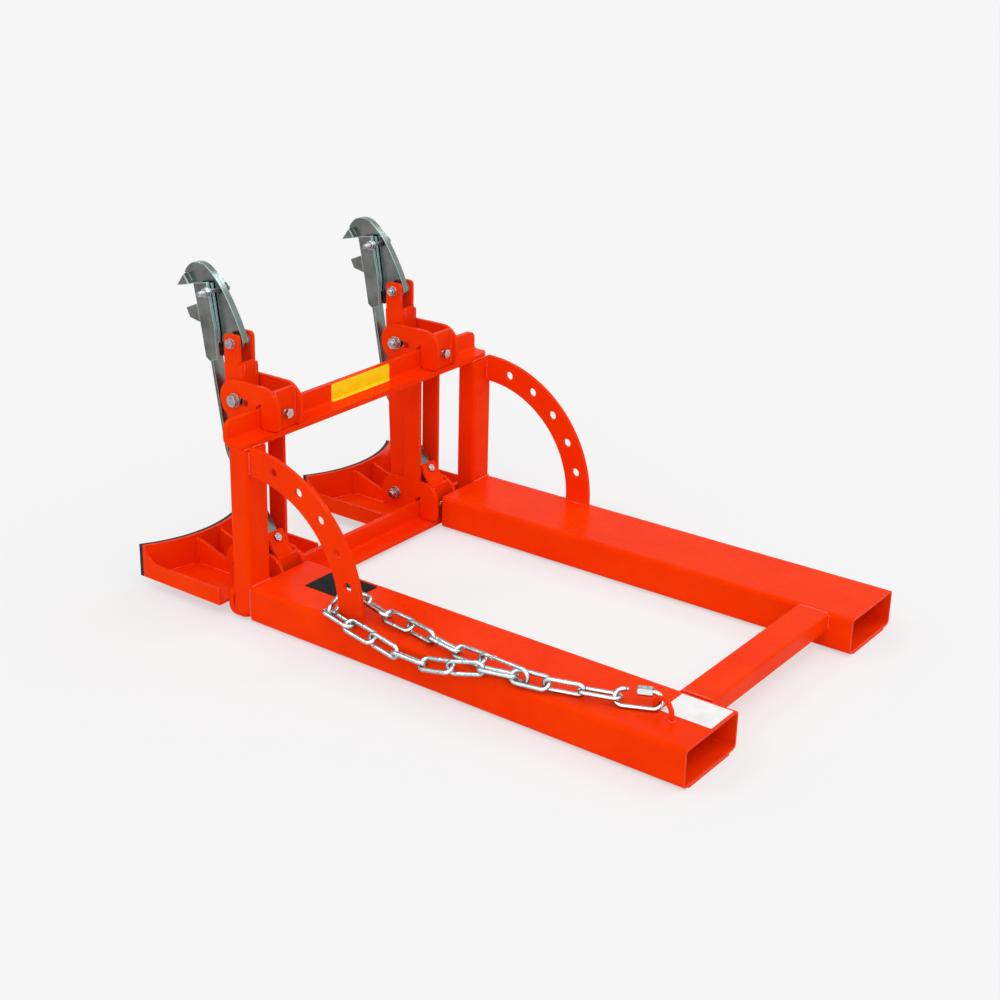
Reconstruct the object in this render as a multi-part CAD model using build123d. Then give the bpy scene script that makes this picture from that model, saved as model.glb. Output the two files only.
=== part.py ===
from build123d import *
import math
import os

# Drum lifter: a fork pocket frame with two parrot beak drum grippers.
# X runs forward from the pocket mouths to the drums, Y to the left, Z up.
# The origin lies midway between the two pocket mouths, level with the pocket undersides.

# Clearances shared by the whole machine
WELD_GAP = 0.1        # between faces that are welded or bolted together
BOLT_FIT = 0.1        # radial, bolt in a plain hole
PIN_FIT = 0.06        # radial, pivot bolt in the bore that turns on it
RUN_GAP = 0.5         # between faces that slide or swing past each other

# Fork pockets and the frame on them
POCKET_L = 1052.0
POCKET_W = 190.0
POCKET_H = 80.0
POCKET_WALL = 5.0
POCKET_R = 10.0       # outer corner of the tube
FORK_GAUGE = 664.0    # centre to centre of the two pockets
PAD_T = 5.0
PAD_L = 105.0
PAD_W = 150.0
CROSS_X = 52.0        # rear face of the rear cross member
CROSS_D = 70.0
CROSS_H = 40.0
CROSS_WALL = 4.0
POST_D = 52.0
POST_W = 66.0
POST_WALL = 5.0
POST_R = 9.0

# The two angle rails across the front
RAIL_T = 12.0
RAIL_R = 20.0         # outer bend radius
RAIL_FLANGE = 54.0
RAIL_LEG = 55.0
RAIL_LOW = 5.0        # underside of the bottom rail
RAIL_PITCH = 380.0    # bottom rail to top rail
RAIL_CORNER = 18.0    # rounded ends of the leg and the flange

# Arc plates with the row of holes
ARC_IN = 240.0
ARC_OUT = 302.0
ARC_LIFT = 11.0       # centre above the pocket's top
ARC_T = 9.0
ARC_INSET = 10.0      # outer face inside the pocket's outer face
ARC_HOLE_R = 10.5
ARC_HOLES = 5
ARC_FIRST = 13.6      # degrees above the rearward line
ARC_STEP = 15.6

# Gripper units
UNIT_INSET = {"left": 44.5, "right": 78.0}    # unit's centre plane inward of the pocket's
HEAD_SIDE = {"left": 1, "right": -1}      # side of the unit that shows the bolt heads

# Carriage: two side plates that hook over both rails
SIDE_T = 8.0
SIDE_IN = 30.5        # inner face from the unit's centre plane
BRACKET_R = 44.0
BRACKET_AHEAD = 62.0  # pivot axis ahead of the rail's front face
BRACKET_RISE = 61.0   # pivot axis above the rail's underside
BRACKET_BACK = 9.5    # rear edge behind the rail flange
BRACKET_CORNER = 12.0
LEG_PLAY = 1.0        # slot round the rail's leg, each side
LEG_HEADROOM = 7.0
RELIEF_R = 4.0
STRIP_BACK = 2.0      # rear edge of the strip ahead of the posts
STRIP_W = 45.0
STRIP_FILLET = 14.0
PLATE_T = 9.0         # cross plates that carry the clamp screws
PLATE_H = 87.0
PLATE_BACK = 36.0     # rear face of the cross plate behind the rail's leg
SLOT_TRAVEL = 30.0    # centre to centre of the swing slot
SLOT_FIT = 0.6

# Clamp screws
CLAMP_D = 12.0
CLAMP_AF = 19.0
CLAMP_DROP = 7.0      # axis below the top of the rail's leg
CLAMP_FREE = 7.5      # between the cross plate and the screw's head

# Bolts
PIVOT_D = 16.0
PIVOT_AF = 24.0
CLEVIS_D = 12.0
CLEVIS_AF = 19.0
BOLT_TAIL = 5.0       # thread past the nut
LINK_TAIL = 17.0
ROUND_SIDES = 24      # sides of a washer, spacer or nut's hole

# Mast: two flat plates that swing on the lower pivot bolt
MAST_T = 8.0
MAST_IN = 17.0
MAST_FOOT_R = 24.0
MAST_W = 52.0
MAST_BACK = 10.0      # rear edge behind the pivot axis, at the head
EAR_W = 43.0
EAR_R = 10.0
EAR_TOP = 19.0        # above the clevis axis
CLEVIS_UP = 499.0     # clevis axis above the lower pivot axis
CLEVIS_AHEAD = 19.0
EAR_RISE = 45.0       # clevis axis above the mast's shoulder
WEB_T = 6.0
WEB_RISE = 6.0        # web's top above the shoulder

# Beak
BEAK_T = 20.0
LINK_AHEAD = 63.0     # link bolt from the clevis axis
LINK_UP = 101.0
BEAK_DRAWN = 101.0    # link bolt above the clevis axis in the outline's own numbers
LINK_PLAY = 0.9       # radial, link bolt in the beak
TOOTH_W = 50.0

# Jaw arm
INNER_T = 6.0
INNER_IN = 11.0
CHEEK_T = 8.0
CHEEK_IN = 18.0
STRAP_T = 7.0
STRAP_W = 32.0
STRAP_LEAN = 33.7     # degrees from upright, lower run
STRAP_TOP_LEAN = 10.0
STRAP_RUN = 199.0     # lug edge to the bend
STRAP_TOP = 240.0     # bend to the upper end
STRAP_BEND_R = 60.0
LUG_T = 8.0
LUG_W = 50.0
LUG_L = 66.0
FOOT_L = 36.0         # strap's foot below the lug's edge
FOOT_ROCK = 3.5       # free length in front of the foot, where it rocks
LUG_EDGE_X = 2.5      # top front edge of the lug behind the strip's edge, forward positive
LUG_EDGE_UP = 79.5    # the same edge above the lower pivot axis
LUG_ROUND = 3.0       # rounding of that edge, on which the strap rocks
LUG_BOLT_D = 10.0
LUG_BOLT_AF = 17.0

# Saddle
SADDLE_R = 290.0      # rubber face
SADDLE_APEX = 145.0   # ahead of the pivot axis
SADDLE_HALF = 160.0
SADDLE_LOW = 24.0
SADDLE_H = 76.0
RUBBER_T = 8.0
FACE_T = 6.0
TRAY_T = 6.0
TRAY_SIDE_H = 38.0
TRAY_BACK = 9.0       # ahead of the rail's front face
RIB_TOP = 69.0
RIB_LOW = 36.0

# Safety chain with its eye, quick link and snap hook
WIRE = 8.8
WIRE_SIDES = 8
BEND_SIDES = 6        # straight sides of a half ring
LINK_IN = 68.2
LINK_W = 35.8
# Where each chain link bears on the next: along, outward from the pocket's middle, above its top
CHAIN_JOINTS = (
    (180.9, 29.5, 16.2), (243.9, 53.6, 17.7), (307.0, 76.7, 19.8),
    (372.7, 88.9, 19.4), (437.5, 104.3, 18.4), (502.1, 116.3, 4.4),
    (567.6, 117.6, -8.5), (634.6, 119.0, -7.1), (700.7, 112.3, 0.4),
    (766.6, 108.3, 9.4), (821.9, 101.8, 15.8), (839.0, 35.4, 27.5),
    (785.1, 34.1, 28.5), (719.2, 42.2, 19.1), (653.1, 49.7, 18.4),
    (587.8, 62.0, 18.4), (522.0, 68.4, 14.4), (456.3, 75.6, 18.9),
)
# Each link's normal above the horizontal, in degrees
CHAIN_TURNS = (99, -17, 46, 105, -6, 56, 118, 0, 59, 105, 4, 61, 117, 55, -4, 114, 57)
HOOK_END = (349.2, 85.3, 22.6)
EYE_WIRE = 10.0
EYE_SPAN = 50.0
EYE_H = 38.0
EYE_FRONT = (119.0, 0.0)          # foot of the eye's front leg, from the pocket's middle
EYE_TURN = 157.0      # direction from that foot to the other one
QUICK_IN = 77.8
QUICK_W = 41.8
EYE_PLAY = 2.0        # between the quick link's rear end and the eye
QUICK_GAP = 14.0      # left open by the sleeve
QUICK_TURN = 25.5     # direction of the quick link on the pocket
QUICK_ROLL = 225.0
SLEEVE_L = 30.0
SLEEVE_AF = 17.0
HOOK_IN = 109.2
HOOK_W = 37.8
GATE_D = 7.0
GATE_L = 42.0
GATE_TIP = 13.0      # ahead of the hook's middle, towards the link that it holds
GATE_PIN = 3.0
PIN_HEAD_T = 1.5
TONGUE_T = 3.5

# Places worked out from the sizes above
POST_X = POCKET_L
RAIL_REAR = POST_X + POST_D            # rear face of the rail's leg
RAIL_FRONT = RAIL_REAR + RAIL_T
PIVOT_X = RAIL_FRONT + BRACKET_AHEAD
LOW_Z = RAIL_LOW + BRACKET_RISE        # lower pivot axis
TOP_Z = LOW_Z + RAIL_PITCH             # swing slot
CLEVIS_X = PIVOT_X + CLEVIS_AHEAD
CLEVIS_Z = LOW_Z + CLEVIS_UP
LINK_X = CLEVIS_X + LINK_AHEAD
LINK_Z = CLEVIS_Z + LINK_UP
STRIP_X = RAIL_REAR + STRIP_BACK
ROOT_CUT = math.sqrt(2) * (RAIL_R - RAIL_T + RUN_GAP)
HALF_W = FORK_GAUGE / 2 + POCKET_W / 2
SIDE_OUT = SIDE_IN + SIDE_T
MAST_OUT = MAST_IN + MAST_T
CHEEK_OUT = CHEEK_IN + CHEEK_T
TOOTH_HALF = TOOTH_W / 2
UNIT_Y = {"left": FORK_GAUGE / 2 - UNIT_INSET["left"], "right": UNIT_INSET["right"] - FORK_GAUGE / 2}

os.makedirs("parts", exist_ok=True)


def save(name, *solids):
    """Write one node, as one solid or a group of separate solids."""
    shape = solids[0] if len(solids) == 1 else Compound(children=list(solids))
    export_step(shape, f"parts/{name}.step")


def slab(outline, y_low, y_high):
    """A plate standing along X and Z, between two Y positions."""
    return extrude(Plane.XZ.offset(-y_high) * outline, amount=y_high - y_low)


def flat(outline, z_low, z_high):
    """A plate lying along X and Y, between two heights."""
    return extrude(Plane.XY.offset(z_low) * outline, amount=z_high - z_low)


def round_of(radius):
    """A circle drawn with few sides, for the small rounds that nothing turns in."""
    return RegularPolygon(radius / math.cos(math.pi / ROUND_SIDES), ROUND_SIDES)


def ring_outline(outer, inner):
    """A washer or spacer: round outside, its hole clear of the shank all round."""
    return round_of(outer) - round_of(inner)


def ring(x, z, outer, inner, y_low, y_high):
    """A washer or spacer on a crosswise axis."""
    return slab(Pos(x, z) * ring_outline(outer, inner), y_low, y_high)


def bar(x_low, x_high, z_low, z_high):
    """An upright rectangle by its edges."""
    return Pos((x_low + x_high) / 2, (z_low + z_high) / 2) * Rectangle(x_high - x_low, z_high - z_low)


def hexagon(across_flats):
    return RegularPolygon(across_flats / math.sqrt(3), 6)


def polygon(*points):
    return make_face(Polyline(*points, close=True))


def cross_bolt(x, z, y_mid, side, grip, size, across, tail):
    """A hexagon bolt with washers and nut, its head on the given side of the unit."""
    head = 0.65 * size
    nut = 0.8 * size
    washer = 0.15 * size
    face = grip + washer
    low = face + nut + tail

    def span(a, b):
        return sorted((y_mid + side * a, y_mid + side * b))

    bolt = slab(Pos(x, z) * Circle(size / 2), *span(face, -low))
    bolt += slab(Pos(x, z) * hexagon(across), *span(face, face + head))
    nut_ring = Pos(x, z) * (hexagon(across) - round_of(size / 2 + BOLT_FIT))
    nut_solid = slab(nut_ring, *span(-face, -face - nut))
    washers = [ring(x, z, 0.95 * size, size / 2 + BOLT_FIT, *span(s * grip, s * face)) for s in (1, -1)]
    return [bolt, nut_solid] + washers


# Fork pockets: closed rectangular tubes with flat wear pads welded underneath
def pocket(y_mid):
    outer = Pos(y_mid, POCKET_H / 2) * RectangleRounded(POCKET_W, POCKET_H, POCKET_R)
    inner = Pos(y_mid, POCKET_H / 2) * RectangleRounded(
        POCKET_W - 2 * POCKET_WALL, POCKET_H - 2 * POCKET_WALL, POCKET_R - POCKET_WALL)
    return extrude(Plane.YZ * (outer - inner), amount=POCKET_L)


def pad(x_mid, y_mid):
    outline = Pos(x_mid, y_mid) * RectangleRounded(PAD_L, PAD_W, PAD_T)
    return flat(outline, -PAD_T, -WELD_GAP)


save("fork_pocket_left", pocket(FORK_GAUGE / 2))
save("fork_pocket_right", pocket(-FORK_GAUGE / 2))
PAD_PLACES = (PAD_L / 2, POCKET_L / 2, POCKET_L - PAD_L / 2)
save("wear_pads", *[pad(x, s * FORK_GAUGE / 2) for s in (1, -1) for x in PAD_PLACES])

# Rear cross member between the pockets' inner faces
cross_half = FORK_GAUGE / 2 - POCKET_W / 2 - WELD_GAP
cross_z = POCKET_H - CROSS_H / 2 - WELD_GAP
cross_place = Pos(CROSS_X + CROSS_D / 2, cross_z)
cross_tube = cross_place * RectangleRounded(CROSS_D, CROSS_H, CROSS_WALL)
cross_tube -= cross_place * Rectangle(CROSS_D - 2 * CROSS_WALL, CROSS_H - 2 * CROSS_WALL)
save("rear_cross_member", slab(cross_tube, -cross_half, cross_half))


def root_clearance(z_low):
    """Corner taken off a piece that stands in the rail's rounded root."""
    return Pos(RAIL_REAR, z_low + RAIL_T) * Rot(0, 0, 45) * Rectangle(*2 * (ROOT_CUT,))


# Posts: tubes that stand on the bottom rail's flange and carry the top rail
def post(side):
    y_mid = side * (HALF_W - POST_W / 2)
    place = Pos(POST_X + POST_D / 2, y_mid)
    outer = place * RectangleRounded(POST_D - 2 * WELD_GAP, POST_W, POST_R)
    inner = place * RectangleRounded(
        POST_D - 2 * POST_WALL, POST_W - 2 * POST_WALL, POST_R - POST_WALL)
    low = RAIL_LOW + RAIL_T + WELD_GAP
    high = RAIL_LOW + RAIL_PITCH - WELD_GAP
    return flat(outer - inner, low, high) - slab(root_clearance(RAIL_LOW), -HALF_W, HALF_W)


save("post_left", post(1))
save("post_right", post(-1))


# Rails: bent angles, the leg standing in front of the posts
def rail(z_low):
    outline = bar(RAIL_FRONT - RAIL_FLANGE, RAIL_FRONT, z_low, z_low + RAIL_T)
    outline += bar(RAIL_REAR, RAIL_FRONT, z_low, z_low + RAIL_LEG)
    corner = [v for v in outline.vertices() if abs(v.X - RAIL_FRONT) < 1 and abs(v.Y - z_low) < 1]
    outline = fillet(corner, RAIL_R)
    root = [v for v in outline.vertices() if abs(v.X - RAIL_REAR) < 1 and abs(v.Y - z_low - RAIL_T) < 1]
    outline = fillet(root, RAIL_R - RAIL_T)
    solid = slab(outline, -HALF_W, HALF_W)
    leg_ends = [e for e in solid.edges().filter_by(Axis.X) if e.center().Z > z_low + RAIL_LEG - 1]
    flange_ends = [e for e in solid.edges().filter_by(Axis.Z) if e.center().X < RAIL_REAR - RAIL_T]
    return fillet(leg_ends + flange_ends, RAIL_CORNER)


save("top_rail", rail(RAIL_LOW + RAIL_PITCH))
save("bottom_rail", rail(RAIL_LOW))


# Arc plates: quarter rings from the post to the pocket, with five holes on one circle
def arc_plate(side):
    centre_z = POCKET_H + ARC_LIFT
    outline = Pos(POST_X, centre_z) * (Circle(ARC_OUT) - Circle(ARC_IN))
    outline &= bar(POST_X - ARC_OUT, POST_X - WELD_GAP, POCKET_H + WELD_GAP, centre_z + ARC_OUT)
    mid = (ARC_IN + ARC_OUT) / 2
    for k in range(ARC_HOLES):
        turn = math.radians(180 - ARC_FIRST - k * ARC_STEP)
        outline -= Pos(POST_X + mid * math.cos(turn), centre_z + mid * math.sin(turn)) * Circle(ARC_HOLE_R)
    face = HALF_W - ARC_INSET
    return slab(outline, *sorted((side * (face - ARC_T), side * face)))


save("arc_plate_left", arc_plate(1))
save("arc_plate_right", arc_plate(-1))


# Carriage side plate: an upper and a lower hook joined by a strip in front of the rails
def bracket(z_low):
    axis_z = z_low + BRACKET_RISE
    rear_x = RAIL_FRONT - RAIL_FLANGE - BRACKET_BACK
    foot = z_low + RAIL_T + RUN_GAP
    circles = Pos(PIVOT_X, axis_z) * Circle(BRACKET_R)
    circles += Pos(rear_x + BRACKET_R, axis_z) * Circle(BRACKET_R)
    circles += Pos(rear_x + BRACKET_CORNER, foot + BRACKET_CORNER + 2) * Circle(BRACKET_CORNER)
    circles += Pos(RAIL_REAR - BRACKET_CORNER, foot + BRACKET_CORNER) * Circle(BRACKET_CORNER)
    return make_hull(circles.edges())


def leg_slot(z_low):
    top = z_low + RAIL_LEG + LEG_HEADROOM
    slot = bar(RAIL_REAR - LEG_PLAY, RAIL_FRONT + LEG_PLAY, z_low - BRACKET_R, top)
    slot += Pos(RAIL_REAR + RELIEF_R / 2, top + RELIEF_R / 2) * Circle(RELIEF_R)
    return slot


def side_plate_outline():
    top_low = RAIL_LOW + RAIL_PITCH
    outline = bracket(RAIL_LOW) + bracket(top_low)
    outline += bar(STRIP_X, STRIP_X + STRIP_W, LOW_Z, top_low - STRIP_BACK)
    outline += bar(RAIL_FRONT + LEG_PLAY, STRIP_X + STRIP_W, LOW_Z, TOP_Z)
    outline -= leg_slot(RAIL_LOW) & bar(0, 2 * PIVOT_X, 0, RAIL_LOW + RAIL_LEG + 3 * RELIEF_R)
    outline -= leg_slot(top_low) & bar(0, 2 * PIVOT_X, top_low - STRIP_BACK, TOP_Z + BRACKET_R)
    front = [v for v in outline.vertices() if abs(v.X - STRIP_X - STRIP_W) < 0.01]
    outline = fillet(front, STRIP_FILLET)
    outline -= root_clearance(RAIL_LOW) + root_clearance(top_low)
    swing = TOP_Z - LOW_Z
    turn = math.degrees(SLOT_TRAVEL / swing)
    slot = SlotArc(CenterArc((PIVOT_X, LOW_Z), swing, 90, turn), PIVOT_D + 2 * SLOT_FIT)
    outline -= slot
    outline -= Pos(PIVOT_X, LOW_Z) * Circle(PIVOT_D / 2 + BOLT_FIT)
    return outline


def cross_plate(z_low, y_mid):
    rear = RAIL_REAR - PLATE_BACK
    foot = z_low + RAIL_T + RUN_GAP
    solid = slab(bar(rear, rear + PLATE_T, foot, foot + PLATE_H),
                 y_mid - SIDE_IN + WELD_GAP, y_mid + SIDE_IN - WELD_GAP)
    hole = Plane.YZ.offset(rear) * (Pos(y_mid, clamp_axis(z_low)) * Circle(CLAMP_D / 2 + PIN_FIT))
    return solid - extrude(hole, amount=PLATE_T)


def clamp_axis(z_low):
    return z_low + RAIL_LEG - CLAMP_DROP


def clamp_screw(z_low, y_mid):
    """Hexagon screw through the cross plate, its tip against the rail's leg."""
    place = Pos(y_mid, clamp_axis(z_low))
    head_x = RAIL_REAR - PLATE_BACK - CLAMP_FREE
    shank = extrude(Plane.YZ.offset(head_x) * (place * Circle(CLAMP_D / 2)),
                    amount=RAIL_REAR - RUN_GAP - head_x)
    head = extrude(Plane.YZ.offset(head_x) * (place * hexagon(CLAMP_AF)), amount=-0.65 * CLAMP_D)
    return chamfer(shank.faces().sort_by(Axis.X)[-1].edges(), 1.5) + head


# Lug: a leaning flat bar welded to the lower cross plate, for the foot of the jaw's strap
LEAN = math.radians(STRAP_LEAN)
ALONG = (math.sin(LEAN), math.cos(LEAN))
AHEAD = (math.cos(LEAN), -math.sin(LEAN))
EDGE = (STRIP_X + LUG_EDGE_X + LUG_T, LOW_Z + LUG_EDGE_UP)


def from_edge(along, ahead):
    """A point measured from the lug's top front edge, up the lug and out from its front face."""
    return (EDGE[0] + along * ALONG[0] + ahead * AHEAD[0], EDGE[1] + along * ALONG[1] + ahead * AHEAD[1])


LUG_HOLE = 2 - FOOT_L / 2


def lug_axis(y_mid):
    centre = from_edge(LUG_HOLE, 0)
    return Plane(origin=(centre[0], y_mid, centre[1]), x_dir=(0, 1, 0), z_dir=(AHEAD[0], 0, AHEAD[1]))


def strap_lug(y_mid):
    outline = polygon(from_edge(0, 0), from_edge(0, -LUG_T), from_edge(-LUG_L, -LUG_T), from_edge(-LUG_L, 0))
    front_of_plate = RAIL_REAR - PLATE_BACK + PLATE_T + WELD_GAP
    top = outline.vertices().sort_by(Axis.Y)[-2:]
    outline = fillet(top, LUG_ROUND)
    outline &= bar(front_of_plate, front_of_plate + 2 * LUG_L, LOW_Z, LOW_Z + 2 * LUG_L)
    solid = slab(outline, y_mid - LUG_W / 2, y_mid + LUG_W / 2)
    hole = lug_axis(y_mid).offset(-LUG_T) * Circle(LUG_BOLT_D / 2 + BOLT_FIT)
    return solid - extrude(hole, amount=LUG_T)


def lug_bolt(y_mid):
    """Bolt through the lug and, loosely, the strap's foot, which rocks over the lug's edge."""
    plane = lug_axis(y_mid)
    front = STRAP_T + FOOT_ROCK
    solid = extrude(plane.offset(-LUG_T - 6) * Circle(LUG_BOLT_D / 2), amount=LUG_T + 6 + front)
    solid += extrude(plane.offset(front) * hexagon(LUG_BOLT_AF), amount=0.65 * LUG_BOLT_D)
    nut_ring = hexagon(LUG_BOLT_AF) - round_of(LUG_BOLT_D / 2 + BOLT_FIT)
    nut = extrude(plane.offset(-LUG_T - WELD_GAP) * nut_ring, amount=-0.5 * LUG_BOLT_D)
    return solid, nut


# Saddle: a curved plate with a rubber strip, on a shallow tray with two ribs
SADDLE_X = PIVOT_X + SADDLE_APEX + SADDLE_R
FACE_R = SADDLE_R + RUBBER_T + WELD_GAP
BACK_R = FACE_R + FACE_T


def curved_strip(y_mid, inner, outer, z_low, z_high):
    outline = Pos(SADDLE_X, y_mid) * (Circle(outer) - Circle(inner))
    outline &= Pos(PIVOT_X + SADDLE_APEX, y_mid) * Rectangle(SADDLE_R, 2 * SADDLE_HALF)
    return flat(outline, z_low, z_high)


def behind_face(y_mid, solid):
    """Trim a solid to the curved plate's rear face."""
    return solid - flat(Pos(SADDLE_X, y_mid) * Circle(BACK_R + WELD_GAP), -POCKET_H, 2 * POCKET_H)


def saddle_tray(y_mid):
    back = RAIL_FRONT + TRAY_BACK
    tip = SADDLE_X - math.sqrt(BACK_R ** 2 - SADDLE_HALF ** 2) + FACE_T
    half = SADDLE_HALF - WELD_GAP
    floor = Pos((back + tip) / 2, y_mid) * Rectangle(tip - back, 2 * half)
    for s in (1, -1):
        slot_mid = (SIDE_IN + SIDE_OUT) / 2
        slot = Rectangle(2 * (PIVOT_X + BRACKET_R - back), SIDE_T + 2 * WELD_GAP)
        floor -= Pos(back, y_mid + s * slot_mid) * slot
    solid = flat(floor, SADDLE_LOW, SADDLE_LOW + TRAY_T)
    low = SADDLE_LOW + TRAY_SIDE_H
    high = SADDLE_LOW + SADDLE_H
    flare = high - low
    side = bar(back, tip, SADDLE_LOW, low) + bar(tip - 1.2 * flare, tip, low, high)
    side -= Pos(tip - 1.2 * flare, high) * Circle(flare)
    for s in (1, -1):
        solid += slab(side, *sorted((y_mid + s * half, y_mid + s * (half - TRAY_T))))
    return behind_face(y_mid, solid)


def saddle_rib(y_mid, s):
    base = SADDLE_LOW + TRAY_T + WELD_GAP
    front = PIVOT_X + SADDLE_APEX
    heel = PIVOT_X + BRACKET_R
    outline = polygon((PIVOT_X, base), (front, base), (front, SADDLE_LOW + RIB_TOP),
                      (heel, SADDLE_LOW + RIB_LOW), (PIVOT_X, SADDLE_LOW + RIB_LOW))
    outline -= Pos(PIVOT_X, LOW_Z) * Circle(BRACKET_R + WELD_GAP)
    solid = slab(outline, *sorted((y_mid + s * SIDE_IN, y_mid + s * SIDE_OUT)))
    return behind_face(y_mid, solid)


# Mast plate: a tall flat bar with a round foot and an ear for the clevis bolt
def mast_outline():
    shoulder = CLEVIS_Z - EAR_RISE
    back = PIVOT_X - MAST_BACK
    corner = 4.0
    pads = Pos(PIVOT_X, LOW_Z) * Circle(MAST_FOOT_R)
    pads += Pos(back + corner, shoulder - corner) * Circle(corner)
    pads += Pos(back + MAST_W - corner, shoulder - corner) * Circle(corner)
    outline = make_hull(pads.edges())
    ear_h = 2 * (CLEVIS_Z + EAR_TOP - shoulder)
    outline += Pos(CLEVIS_X, CLEVIS_Z + EAR_TOP - ear_h / 2) * RectangleRounded(EAR_W, ear_h, EAR_R)
    outline -= Pos(PIVOT_X, LOW_Z) * Circle(PIVOT_D / 2 + PIN_FIT)
    outline -= Pos(PIVOT_X, TOP_Z) * Circle(PIVOT_D / 2 + BOLT_FIT)
    outline -= Pos(CLEVIS_X, CLEVIS_Z) * Circle(CLEVIS_D / 2 + BOLT_FIT)
    return outline


def mast_web(y_mid):
    back = PIVOT_X - MAST_BACK
    low = TOP_Z + PIVOT_D / 2 + RUN_GAP
    return slab(bar(back, back + WEB_T, low, CLEVIS_Z - EAR_RISE + WEB_RISE),
                y_mid - MAST_IN + WELD_GAP, y_mid + MAST_IN - WELD_GAP)


# Beak: a thick hooked plate, its outline measured from the clevis axis
def at(dx, dz):
    """A point of the beak or jaw, scaled from the drawn height of the link bolt to the real one."""
    scale = LINK_UP / BEAK_DRAWN
    return (CLEVIS_X + dx * scale, CLEVIS_Z + dz * scale)


TOOTH = (at(148, 103), at(156, 116), at(139, 130), at(124, 110))


def beak_outline():
    back = Spline(at(-17, 12.3), at(6, 53), at(30, 84), at(61, 126), at(84, 144), at(105, 155.5),
                  at(129, 147), at(144, 132), tangents=[(0.45, 1), (0.55, -1)])
    nose = Polyline(at(144, 132), at(138.8, 130.3), at(123.7, 110.3), at(106, 90))
    front = Spline(at(106, 90), at(84, 66), at(50, 40), at(20.5, 4.5), tangents=[(-0.6, -0.75), (-0.2, -1)])
    eye = ThreePointArc(at(20.5, 4.5), at(-2, -20.9), at(-17, 12.3))
    outline = make_face([back, nose, front, eye])
    outline -= Pos(CLEVIS_X, CLEVIS_Z) * Circle(CLEVIS_D / 2 + PIN_FIT)
    outline -= Pos(LINK_X, LINK_Z) * Circle(CLEVIS_D / 2 + LINK_PLAY)
    return outline


# Jaw arm: cheeks and inner plates round the beak, a lip, and the bent strap
def cheek_outline():
    outline = polygon(at(67, 121), at(106, 113), at(97, 71), at(89, 29), at(76, -44), at(65, -52),
                      at(42, -44), at(47, 23))
    outline -= Pos(LINK_X, LINK_Z) * Circle(CLEVIS_D / 2 + BOLT_FIT)
    return outline


def inner_outline():
    outline = polygon(at(61, 119), at(98, 108), at(88, 29), at(78, -10), at(46, -10), at(45, 15))
    outline -= Pos(LINK_X, LINK_Z) * Circle(CLEVIS_D / 2 + BOLT_FIT)
    return outline


LIP = (at(97.4, 70), at(130, 56), at(120, 36), at(91, 30.5))


def strap(y_mid):
    """Flat bar bent once, from its foot on the lug up to the cheeks."""
    mid = STRAP_T / 2 + RUN_GAP
    foot = from_edge(-FOOT_L, mid)
    bend = from_edge(STRAP_RUN, mid)
    lean = math.radians(STRAP_TOP_LEAN)
    top = (bend[0] + STRAP_TOP * math.sin(lean), bend[1] + STRAP_TOP * math.cos(lean))
    line = FilletPolyline(foot, bend, top, radius=STRAP_BEND_R)
    outline = trace(line, STRAP_T)
    solid = slab(outline, y_mid - STRAP_W / 2, y_mid + STRAP_W / 2)
    wide = outline & bar(PIVOT_X, PIVOT_X + 2 * MAST_W, top[1] - 0.2 * STRAP_TOP, top[1] + STRAP_T)
    half = CHEEK_IN - WELD_GAP
    solid += slab(wide, y_mid - half, y_mid + half)
    hole = lug_axis(y_mid) * SlotOverall(2 * LUG_BOLT_D, LUG_BOLT_D + 3, rotation=90)
    return solid - extrude(hole, amount=2 * STRAP_T)


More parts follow.
